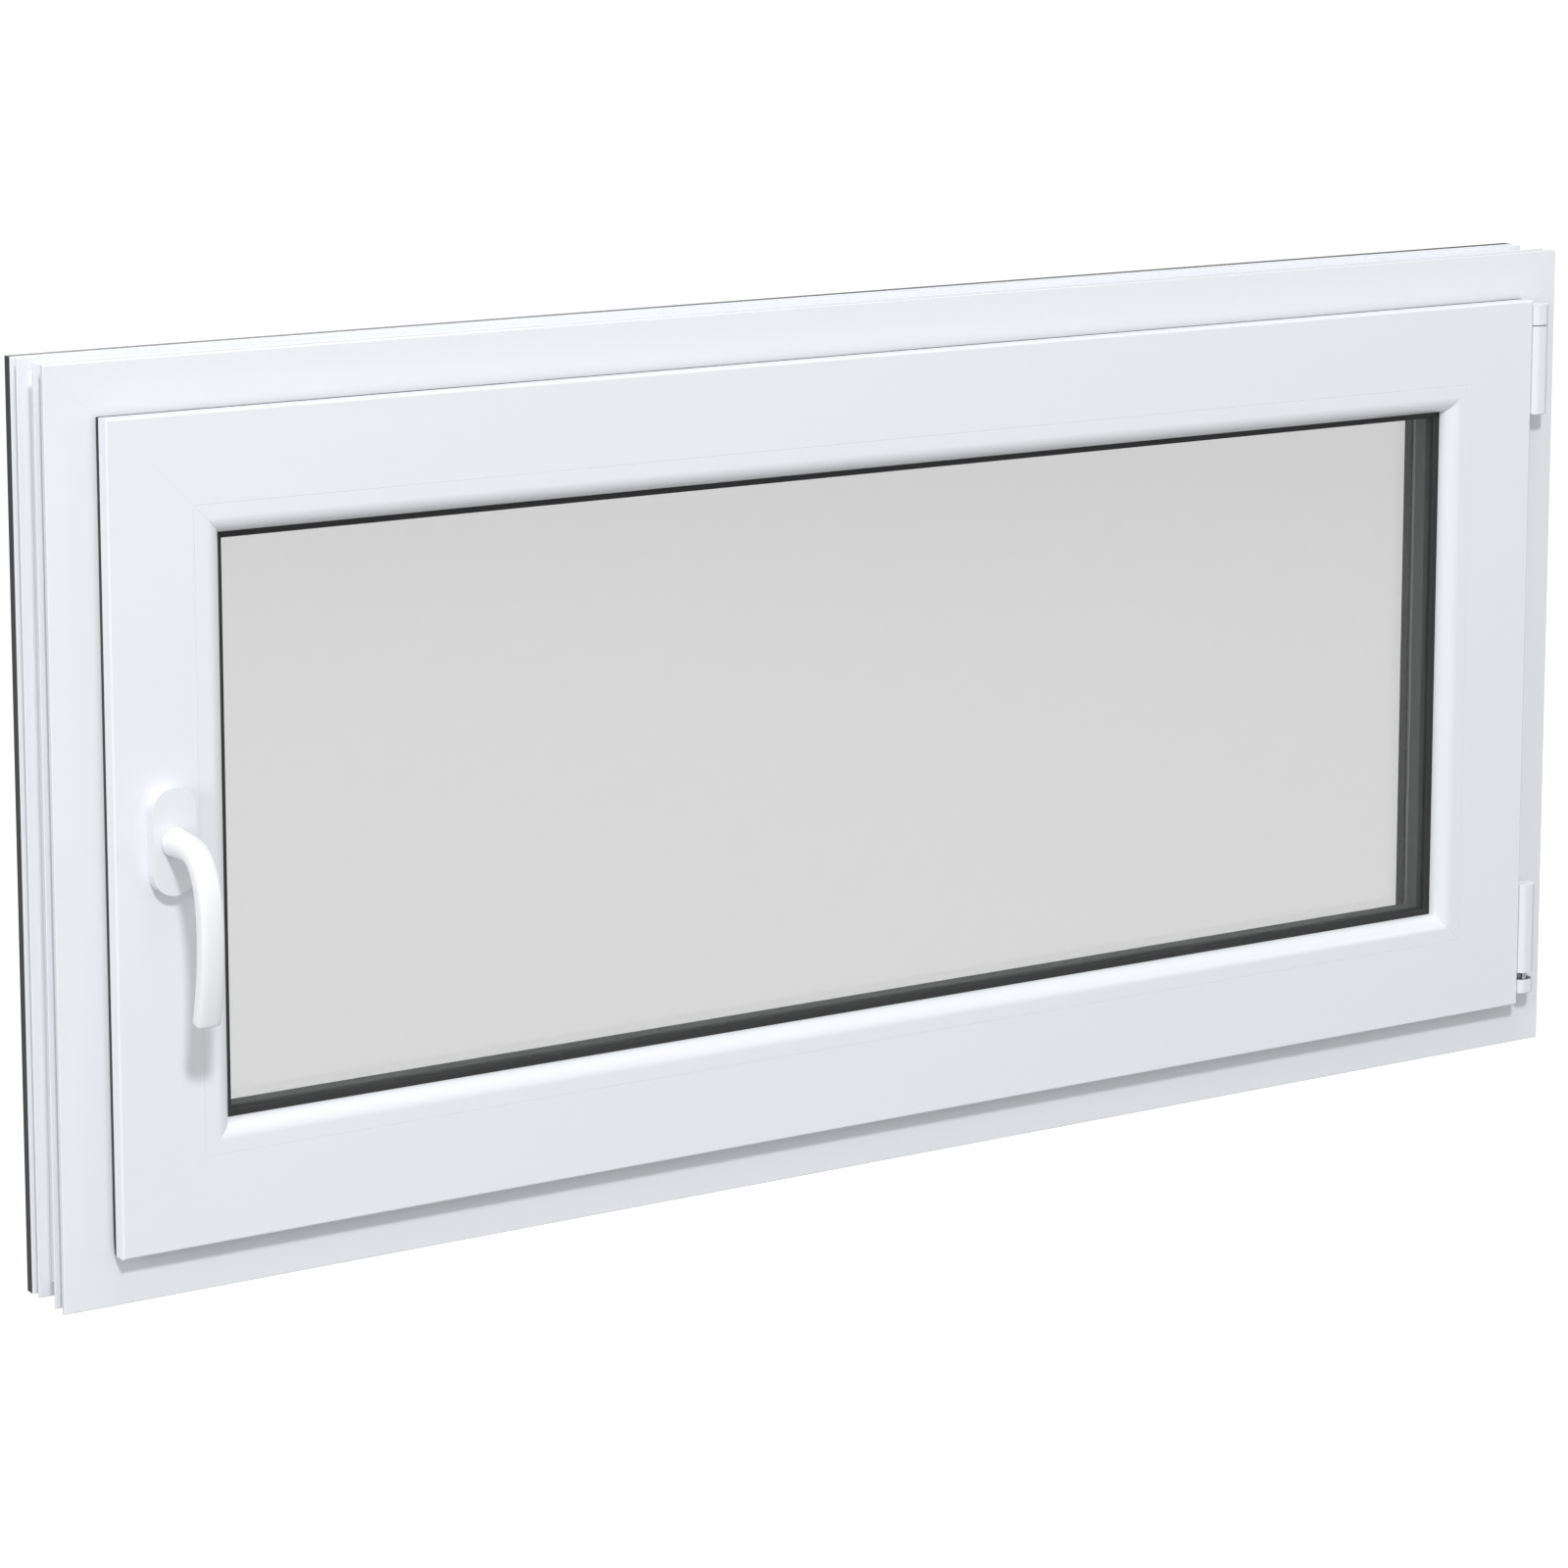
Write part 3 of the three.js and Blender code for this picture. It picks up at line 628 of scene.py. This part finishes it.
def cut_across(bm, height):
    """Adds edges where the level at this height meets the faces."""
    geom = list(bm.verts) + list(bm.edges) + list(bm.faces)
    bmesh.ops.bisect_plane(bm, geom=geom, dist=1e-7, plane_co=(0, 0, height), plane_no=(0, 0, 1))


def notch(bm, low, high):
    """Takes the stretch between two heights out of the ring's hinge side, and closes both cut ends."""
    cut_across(bm, low)
    cut_across(bm, high)
    inside = []
    for face in bm.faces:
        middle = face.calc_center_median()
        if low < middle.z < high and middle.x > OUTLINE_HIGH.x - SASH_BODY * MM:
            inside.append(face)
    bmesh.ops.delete(bm, geom=inside, context="FACES")
    bmesh.ops.holes_fill(bm, edges=[edge for edge in bm.edges if edge.is_boundary])


def press_for_tilt(bm):
    """Flattens the seal below the tilt axis, just enough to clear the frame with the sash fully tilted."""
    joints = frame["record"]["behaviour"]["joints"]
    tilt = next(joint for joint in joints if joint["name"] == "sash_tilt")
    axis_y, axis_z = tilt["pos_m"][1:]
    angle = math.radians(tilt["range_deg"][1])
    clearance = 0.05 * MM
    cut_across(bm, axis_z)
    for vert in bm.verts:
        drop = axis_z - vert.co.z
        if drop > 0:
            limit = axis_y + (ROOM_FACE - axis_y - drop * math.sin(angle)) / math.cos(angle)
            vert.co.y = min(vert.co.y, limit - clearance)


def build_sash():
    """Mitred bars with a lip over the frame, a rebate for the beads and a groove for the lock gear."""
    edge, sight, face, back = section_box("sash_sill")
    plate_seat, groove_floor = 58, 65
    outside = 42
    section = [
        (edge, face, sizes().lip_round / MM),
        (BEAD_EDGE, face, 0.15),
        (BEAD_EDGE, 26, 0.5),
        (sight, 26, 0.5),
        (sight, 28.9, 0.5),
        (111.9, back, 0.3),
        (SASH_BODY, back, 0.3),
        (SASH_BODY, 18, 0.3),
        (plate_seat, 18),
        (plate_seat, 16, 0.3),
        (groove_floor, 16),
        (groove_floor, 4),
        (plate_seat, 4, 0.3),
        (plate_seat, 2),
        (SASH_BODY, 2, 0.3),
        (SASH_BODY, LIP_BACK, 0.8),
        (edge, LIP_BACK, 0.6),
    ]
    names = {
        "sill": "sash_sill",
        "head": "sash_head",
        "lock": "sash_stile_lock",
        "hinge": "sash_stile_hinge",
    }
    bars(names, section, sizes().weld_seam, "pvc", "sash")
    cover = [
        (SASH_BODY, 40, 0.3),
        (SASH_BODY, outside, 0.7),
        (113.5, outside, 0.9),
        (117.3, 29.5, 0.5),
        (115.8, 29.2, 0.3),
        (112.2, 40),
    ]
    surround("sash_outer_cover", cover, sizes().bead_seam, "anthracite", "sash_cover")
    build_overlap_seal(edge)


def build_overlap_seal(edge):
    """The seal behind the sash's lip, with gaps where the hinge plates pass."""
    foot = LIP_BACK + 0.1
    seal = [
        (edge + 0.15, foot),
        (FRAME_EDGE, foot),
        (42.6, -1.8, 0.6),
        (41.5, -1.4, 0.5),
        (edge + 1.2, -0.5, 0.3),
        (edge + 0.15, -0.7, 0.2),
    ]
    bm = bmesh.new()
    for side in SIDES:
        profile_bar(bm, side, seal, 0)
    press_for_tilt(bm)
    clearance = 1.5 * MM
    for node_name in ("sash_hinge", "stay_arm"):
        low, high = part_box(node_name)
        notch(bm, low.z - clearance, high.z + clearance)
    new_piece("sash_overlap_seal", bm, "sash", "seal", "sash_seal")


# ---- Beads and glass ----


def build_beads():
    _, sight, face, back = section_box("bead_bottom")
    start = BEAD_EDGE + 0.03
    section = [
        (start, face, 0.15),
        (sight, face, sizes().bead_round / MM),
        (sight, back, 0.3),
        (start, back),
    ]
    names = {"sill": "bead_bottom", "head": "bead_top", "lock": "bead_left", "hinge": "bead_right"}
    bars(names, section, sizes().bead_seam, "pvc", "sash")


def build_pane(name):
    """A pane with ground edges."""
    low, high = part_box(name)
    bm = bmesh.new()
    bmesh.ops.create_cube(bm, size=1)
    bmesh.ops.scale(bm, verts=bm.verts, vec=high - low)
    bmesh.ops.translate(bm, verts=bm.verts, vec=(low + high) / 2)
    rounded(bm, list(bm.edges), "EDGES", 0.5 * MM, 2)
    new_piece(name + "_glass", bm, "sash", "glass", name)


def build_glass_unit():
    for name in ("pane_inner", "pane_outer"):
        build_pane(name)
    low, _, front, back = section_box("spacer_bar")
    sight = low + SPACER_WIDE
    spacer = [
        (low, front),
        (low, back),
        (sight - 0.4, back, 0.3),
        (sight, back - 0.6, 0.4),
        (sight, front + 4.5, 1.2),
        (sight - 2.6, front, 0.4),
    ]
    surround("spacer", spacer, sizes().weld_seam, "spacer", "spacer_bar")
    low, _, front, back = section_box("glazing_seal_inner")
    sight = low + INNER_SEAL_WIDE
    inner = [
        (low, front + 0.1),
        (sight - 0.4, front + 0.2, 0.8),
        (sight, back - 0.1, 0.2),
        (low, back - 0.1),
    ]
    surround("inner_glass_seal", inner, 0, "seal", "glazing_seal_inner")
    low, _, front, back = section_box("glazing_seal_outer")
    sight = low + OUTER_SEAL_WIDE
    outer = [
        (low, front + 0.1),
        (sight + 0.4, front + 0.1, 0.6),
        (sight - 0.4, back - 0.1, 0.5),
        (low, back - 0.1),
    ]
    surround("outer_glass_seal", outer, 0, "seal", "glazing_seal_outer")
    for name in ("setting_block_left", "setting_block_right"):
        refined(name, 0.4)


# ---- Handle ----


def build_rosette():
    """A tall plate with half-round ends and a rounded rim."""
    low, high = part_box("handle_rosette")
    size = high - low
    bm = bmesh.new()
    bmesh.ops.create_cube(bm, size=1)
    bmesh.ops.scale(bm, verts=bm.verts, vec=size)
    bmesh.ops.translate(bm, verts=bm.verts, vec=(low + high) / 2)
    corners = [edge for edge in bm.edges if abs(edge.verts[0].co.y - edge.verts[1].co.y) > 0.9 * size.y]
    rounded(bm, corners, "EDGES", size.x * 0.4999, 20)
    rim = [edge for edge in bm.edges if all(vert.co.y < low.y + 1e-6 for vert in edge.verts)]
    rounded(bm, rim, "EDGES", 4.6 * MM, 7)
    new_piece("rosette", bm, "sash", "cap_plastic", "handle_rosette")


# Centre line and section of the lever: distance out from the sash and drop below the spindle, the section's
# width and thickness as shares of the grip's, and how square it is.
LEVER_STATIONS = [
    (10.8, 0, 1.16, 1.64, 0.0),
    (14.2, 0, 1.16, 1.64, 0.0),
    (15.4, 0, 1.1, 1.56, 0.0),
    (25, 0, 1.06, 1.5, 0.0),
    (36, 0, 1.04, 1.42, 0.1),
    (46.5, 4.0, 1.02, 1.3, 0.4),
    (55, 15, 1.0, 1.16, 0.8),
    (59.6, 33, 0.98, 1.02, 1.0),
    (60.8, 56, 0.98, 0.97, 1.0),
    (58.8, 82, 1.0, 0.94, 1.0),
    (53.6, 105, 1.03, 0.92, 1.0),
    (52.2, 110.5, 1.02, 0.9, 1.0),
]


def lever_frames():
    """A matrix for each station: its place, and axes across, through and along the lever."""
    low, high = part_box("handle_spindle")
    x, z = (low.x + high.x) / 2, (low.z + high.z) / 2
    points = [Vector((x, SASH_FACE - out * MM, z - drop * MM)) for out, drop, *_ in LEVER_STATIONS]
    across = Vector((1, 0, 0))
    frames = []
    for i, point in enumerate(points):
        ahead = (points[min(i + 1, len(points) - 1)] - points[max(i - 1, 0)]).normalized()
        wide = LEVER_STATIONS[i][2] * sizes().grip_wide / 2
        thick = LEVER_STATIONS[i][3] * sizes().grip_thick / 2
        turn = Matrix((across * wide, ahead.cross(across) * thick, ahead)).transposed()
        frames.append(Matrix.Translation(point) @ turn.to_4x4())
    return frames


def squared(place, square):
    """Pushes a point of the unit circle towards a square with rounded corners."""
    power = 1 - 0.42 * square
    return Vector([math.copysign(abs(value) ** power, value) for value in place.xy] + [place.z])


def build_lever():
    """A ring of edges drawn out along the lever's stations, closed at both ends and subdivided."""
    bm = bmesh.new()
    ring = bmesh.ops.create_circle(bm, segments=16, radius=1.0)["verts"]
    shape = [vert.co.copy() for vert in ring]
    start = edges = list(bm.edges)
    for i, matrix in enumerate(lever_frames()):
        if i > 0:
            grown = bmesh.ops.extrude_edge_only(bm, edges=edges)["geom"]
            edges = [item for item in grown if isinstance(item, bmesh.types.BMEdge)]
            new = [item for item in grown if isinstance(item, bmesh.types.BMVert)]
            ring = [min(new, key=lambda vert: (vert.co - old.co).length) for old in ring]
        for vert, place in zip(ring, shape):
            vert.co = matrix @ squared(place, LEVER_STATIONS[i][4])
    for rim in (start, edges):
        cap = bmesh.ops.contextual_create(bm, geom=rim)["faces"]
        bmesh.ops.inset_region(bm, faces=cap, thickness=1.0 * MM, use_even_offset=True)
        bmesh.ops.inset_region(bm, faces=cap, thickness=2.5 * MM, use_even_offset=True)
    piece = new_piece("lever", bm, "handle", "handle_coat", "handle_lever")
    piece.modifiers.clear()
    for edge in piece.data.edges:
        edge.use_edge_sharp = False
    smooth = piece.modifiers.new("Smooth", "SUBSURF")
    smooth.levels = 3
    smooth.render_levels = 3


def build_handle():
    build_rosette()
    build_lever()
    refined("handle_spindle")
    refined("drive_pinion", 0.15)


# ---- Hinges ----


def hinge_line():
    """The place of the upright hinge line, as the middle of its bottom pin."""
    low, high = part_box("bottom_hinge_pin")
    return (low + high) / 2


def at_level(item, level):
    """Whether an edge or a face lies at one height."""
    return all(abs(vert.co.z - level) < 1e-6 for vert in item.verts)


def hinge_cap(name, points, closed_top):
    """A thin cap round the hinge line, closed at one end, and open at the other end and at the back."""
    low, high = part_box(name)
    height = high.z - low.z
    closed, opened = (height, 0) if closed_top else (0, height)
    near_back = (max(point[1] for point in points) - 0.1) * MM
    bm = bmesh.new()
    flat_section(bm, points)
    raise_section(bm, height)
    bmesh.ops.recalc_face_normals(bm, faces=bm.faces)
    rim = [
        edge
        for edge in bm.edges
        if at_level(edge, closed) and any(vert.co.y < near_back for vert in edge.verts)
    ]
    rounded(bm, rim, "EDGES", sizes().cap_round, 4)
    open_faces = [
        face
        for face in bm.faces
        if at_level(face, opened)
        or (face.normal.y > 0.99 and face.calc_center_median().y > near_back)
    ]
    bmesh.ops.delete(bm, geom=open_faces, context="FACES")
    bmesh.ops.recalc_face_normals(bm, faces=bm.faces)
    points_out = sum(face.normal.y * face.calc_center_median().y for face in bm.faces) > 0
    wall = sizes().cap_wall if points_out else -sizes().cap_wall
    bmesh.ops.solidify(bm, geom=bm.faces, thickness=wall)
    line = hinge_line()
    bmesh.ops.translate(bm, verts=bm.verts, vec=(line.x, line.y, low.z))
    new_piece(name + "_shell", bm, BODY_OF[name], "cap_plastic", name)


def build_hinges():
    line = hinge_line()
    low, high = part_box("top_bearing_cap")
    radius = (high.x - line.x) / MM
    flank = (line.x - low.x) / MM
    wall_back = (high.y - line.y) / MM
    turning_back = (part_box("sash_hinge_cap")[1].y - line.y) / MM
    nose = radius * 0.98
    fixed = [
        (-flank, wall_back),
        (-flank, -radius, radius * 0.8),
        (radius, -radius, nose),
        (radius, wall_back),
    ]
    turning = [
        (-flank, turning_back),
        (-flank, -radius, radius * 0.8),
        (radius, -radius, nose),
        (radius, radius, nose),
        (0, radius),
        (0, turning_back),
    ]
    for name in ("top_bearing_cap", "corner_bearing_cap"):
        hinge_cap(name, fixed, closed_top=False)
    for name in ("stay_arm_cap", "sash_hinge_cap"):
        hinge_cap(name, turning, closed_top=True)
    for name in ("corner_bearing", "pivot_cup", "bottom_hinge_pin", "sash_hinge", "top_bearing"):
        refined(name, 0.25)
    for name in ("top_hinge_pin", "stay_arm"):
        refined(name)


# ---- Lock gear and strikers ----

HEAD_HEIGHT = 0.5 * MM
RECESS_DEPTH = 0.45 * MM
LOBES = (1.0, 0.9, 0.74, 0.9)  # radius of the recess from the tip of one lobe to the next


def screw_head(bm, place, outward):
    """A countersunk head with a six-lobed recess."""
    radius = sizes().screw_head
    part = bmesh.new()
    bmesh.ops.create_cone(
        part, cap_ends=True, segments=24, radius1=radius, radius2=radius * 0.86, depth=HEAD_HEIGHT
    )
    top = [face for face in part.faces if face.normal.z > 0.99]
    bmesh.ops.inset_region(part, faces=top, thickness=radius * 0.3)
    rim = sorted(top[0].verts, key=lambda vert: math.atan2(vert.co.y, vert.co.x))
    for i, vert in enumerate(rim):
        vert.co.xy *= LOBES[i % len(LOBES)]
    sunk = bmesh.ops.extrude_discrete_faces(part, faces=top)["faces"]
    bmesh.ops.translate(part, verts=sunk[0].verts, vec=(0, 0, -RECESS_DEPTH))
    turn = outward.to_track_quat("Z", "Y").to_matrix().to_4x4()
    seat = Matrix.Translation(place + outward * HEAD_HEIGHT / 2)
    bmesh.ops.transform(part, matrix=seat @ turn, verts=part.verts)
    merge_into(bm, part)


def screw_row(name, node_name, outward, spots):
    """Screw heads on the outer face of a strip, at shares of its length."""
    low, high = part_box(node_name)
    long_axis = max(range(3), key=lambda i: high[i] - low[i])
    bm = bmesh.new()
    for share in spots:
        place = (low + high) / 2
        place[long_axis] = low[long_axis] + share * (high[long_axis] - low[long_axis])
        for i in range(3):
            if abs(outward[i]) > 0.5:
                place[i] = high[i] if outward[i] > 0 else low[i]
        screw_head(bm, place, outward)
    new_piece(name, bm, BODY_OF[node_name], "steel")


def build_lock_gear():
    for name in ("faceplate_side", "faceplate_top", "faceplate_bottom"):
        refined(name)
    for name in ("lock_rod_side", "lock_rod_top", "lock_rod_bottom"):
        refined(name, 0.2)
    for name in ("corner_drive_top", "corner_drive_bottom", "gearbox_case"):
        refined(name, 0.4)
    left = Vector((-1, 0, 0))
    up = Vector((0, 0, 1))
    screw_row("side_plate_screws", "faceplate_side", left, (0.04, 0.32, 0.42, 0.58, 0.68, 0.97))
    screw_row("top_plate_screws", "faceplate_top", up, (0.02, 0.16, 0.38, 0.55, 0.72, 0.84, 0.98))
    screw_row("bottom_plate_screws", "faceplate_bottom", -up, (0.02, 0.2, 0.38, 0.55, 0.72, 0.93))


def build_strikers():
    for place in ("side_lower", "side_upper", "top", "bottom_lock", "bottom_hinge"):
        refined("striker_" + place, 0.5)


def dress_hidden_nodes():
    """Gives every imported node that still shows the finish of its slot."""
    for name, packed in frame["nodes"].items():
        packed.data.materials.clear()
        packed.data.materials.append(FINISHES[SLOT_OF[name]]())


# ---- Stage ----

CAMERA_PLACE = Vector((-1.8487, -2.7964, 1.0217))
CAMERA_BEARING = math.radians(32.425)
CAMERA_DROP = math.radians(8.827)
CAMERA_LENS = 111.26
CAMERA_SHIFT = -0.2
FLOOR_DROP = 0.6  # the floor's distance below the window
FLOOR_GLOW = 0.93  # the floor's glow where it is seen
FLOOR_BOUNCE = 0.15  # the floor's glow where it lights the window
BACKDROP = 1.02  # the background where it is seen
AMBIENT = 0.45  # the background where it lights the window
# Name, place from the window's middle, diameter in metres and power in watts
LAMPS = (
    ("key", (-2.2, -4.9, 4.2), 0.7, 235),
    ("side", (-6.0, -1.8, 1.3), 2.6, 120),
    ("fill", (5.0, -4.5, 1.2), 2.6, 40),
    ("top", (0.2, -1.2, 5.0), 3.0, 60),
    ("outside", (1.6, 5.0, 2.6), 3.0, 60),
)


def build_camera():
    data = bpy.data.cameras.new("camera")
    data.lens = CAMERA_LENS
    data.sensor_width = 36
    data.shift_y = CAMERA_SHIFT
    data.clip_end = 50
    camera = bpy.data.objects.new("camera", data)
    camera.location = CAMERA_PLACE
    camera.rotation_euler = (math.pi / 2 - CAMERA_DROP, 0, -CAMERA_BEARING)
    bpy.context.scene.collection.objects.link(camera)
    bpy.context.scene.camera = camera


def seen_or_lit(tree, lit, seen):
    """A strength that differs between lighting the window and being seen, also through glass."""
    path = node(tree, "ShaderNodeLightPath")
    either = node(tree, "ShaderNodeMath", operation="MAXIMUM")
    link(tree, path, "Is Camera Ray", either, 0)
    link(tree, path, "Is Transmission Ray", either, 1)
    strength = node(tree, "ShaderNodeMapRange")
    strength.inputs["To Min"].default_value = lit
    strength.inputs["To Max"].default_value = seen
    link(tree, either, "Value", strength, "Value")
    return strength


def build_floor():
    bm = bmesh.new()
    bmesh.ops.create_grid(bm, x_segments=1, y_segments=1, size=30)
    bmesh.ops.translate(bm, verts=bm.verts, vec=(0, 0, OUTLINE_LOW.z - FLOOR_DROP))
    mesh = bpy.data.meshes.new("floor")
    bm.to_mesh(mesh)
    bm.free()
    floor = bpy.data.objects.new("floor", mesh)
    bpy.context.scene.collection.objects.link(floor)
    material = bpy.data.materials.new("plain floor")
    material.use_nodes = True
    shader = material.node_tree.nodes["Principled BSDF"]
    shader.inputs["Base Color"].default_value = (*colours().floor, 1)
    shader.inputs["Roughness"].default_value = 0.9
    shader.inputs["Emission Color"].default_value = (1, 1, 1, 1)
    glow = seen_or_lit(material.node_tree, FLOOR_BOUNCE, FLOOR_GLOW)
    link(material.node_tree, glow, "Result", shader, "Emission Strength")
    mesh.materials.append(material)


def area_light(name, place, target, size, power):
    data = bpy.data.lights.new(name, "AREA")
    data.shape = "DISK"
    data.size = size
    data.energy = power
    lamp = bpy.data.objects.new(name, data)
    lamp.location = place
    lamp.rotation_euler = (target - place).to_track_quat("-Z", "Y").to_euler()
    bpy.context.scene.collection.objects.link(lamp)


def build_light():
    bpy.context.scene.view_settings.view_transform = "Standard"
    world = bpy.data.worlds.new("studio")
    world.use_nodes = True
    tree = world.node_tree
    background = tree.nodes["Background"]
    background.inputs["Color"].default_value = (1, 1, 1, 1)
    link(tree, seen_or_lit(tree, AMBIENT, BACKDROP), "Result", background, "Strength")
    bpy.context.scene.world = world
    centre = (OUTLINE_LOW + OUTLINE_HIGH) / 2
    for name, offset, size, power in LAMPS:
        area_light(name, centre + Vector(offset), centre, size, power)


# ---- Operators ----


class WINDOW_OT_frame(bpy.types.Operator):
    """Frame bars, outer cover, stop seal and drain caps"""

    bl_idname = "window.frame"
    bl_label = "Frame"

    def execute(self, context):
        build_frame()
        return {"FINISHED"}


class WINDOW_OT_sash(bpy.types.Operator):
    """Sash bars, outer cover and overlap seal"""

    bl_idname = "window.sash"
    bl_label = "Sash"

    def execute(self, context):
        build_sash()
        return {"FINISHED"}


class WINDOW_OT_beads(bpy.types.Operator):
    """Glazing beads"""

    bl_idname = "window.beads"
    bl_label = "Glazing beads"

    def execute(self, context):
        build_beads()
        return {"FINISHED"}


class WINDOW_OT_glass(bpy.types.Operator):
    """Panes, spacer, glazing seals and setting blocks"""

    bl_idname = "window.glass"
    bl_label = "Glass unit"

    def execute(self, context):
        build_glass_unit()
        return {"FINISHED"}


class WINDOW_OT_handle(bpy.types.Operator):
    """Rosette, lever, spindle and pinion"""

    bl_idname = "window.handle"
    bl_label = "Handle"

    def execute(self, context):
        build_handle()
        return {"FINISHED"}


class WINDOW_OT_hinges(bpy.types.Operator):
    """Hinges, their caps and the tilt stay"""

    bl_idname = "window.hinges"
    bl_label = "Hinges"

    def execute(self, context):
        build_hinges()
        return {"FINISHED"}


class WINDOW_OT_lock_gear(bpy.types.Operator):
    """Faceplates, lock rods, corner drives and gearbox"""

    bl_idname = "window.lock_gear"
    bl_label = "Lock gear"

    def execute(self, context):
        build_lock_gear()
        return {"FINISHED"}


class WINDOW_OT_strikers(bpy.types.Operator):
    """Strikers on the frame, and the finish of the hidden nodes"""

    bl_idname = "window.strikers"
    bl_label = "Strikers"

    def execute(self, context):
        build_strikers()
        dress_hidden_nodes()
        return {"FINISHED"}


class WINDOW_OT_stage(bpy.types.Operator):
    """Camera, floor and light"""

    bl_idname = "window.stage"
    bl_label = "Stage"

    def execute(self, context):
        build_camera()
        build_floor()
        build_light()
        return {"FINISHED"}


OPERATORS = (
    WINDOW_OT_stage,
    WINDOW_OT_frame,
    WINDOW_OT_sash,
    WINDOW_OT_beads,
    WINDOW_OT_glass,
    WINDOW_OT_handle,
    WINDOW_OT_hinges,
    WINDOW_OT_lock_gear,
    WINDOW_OT_strikers,
)


class WINDOW_PT_panel(bpy.types.Panel):
    """Lists the window's operators, sizes and colours"""

    bl_label = "Window"
    bl_idname = "WINDOW_PT_panel"
    bl_space_type = "VIEW_3D"
    bl_region_type = "UI"
    bl_category = "Window"

    def draw(self, context):
        for operator in OPERATORS:
            self.layout.operator(operator.bl_idname)
        for group in (context.scene.window_sizes, context.scene.window_colours):
            for name in group.__annotations__:
                self.layout.prop(group, name)


CLASSES = (WindowSizes, WindowColours, *OPERATORS, WINDOW_PT_panel)


def register():
    for item in CLASSES:
        bpy.utils.register_class(item)
    bpy.types.Scene.window_sizes = bpy.props.PointerProperty(type=WindowSizes)
    bpy.types.Scene.window_colours = bpy.props.PointerProperty(type=WindowColours)


def unregister():
    del bpy.types.Scene.window_colours
    del bpy.types.Scene.window_sizes
    for item in reversed(CLASSES):
        bpy.utils.unregister_class(item)


def main():
    register()
    bpy.ops.window.stage()
    bpy.ops.window.frame()
    bpy.ops.window.sash()
    bpy.ops.window.beads()
    bpy.ops.window.glass()
    bpy.ops.window.handle()
    bpy.ops.window.hinges()
    bpy.ops.window.lock_gear()
    bpy.ops.window.strikers()


if __name__ == "__main__":
    main()
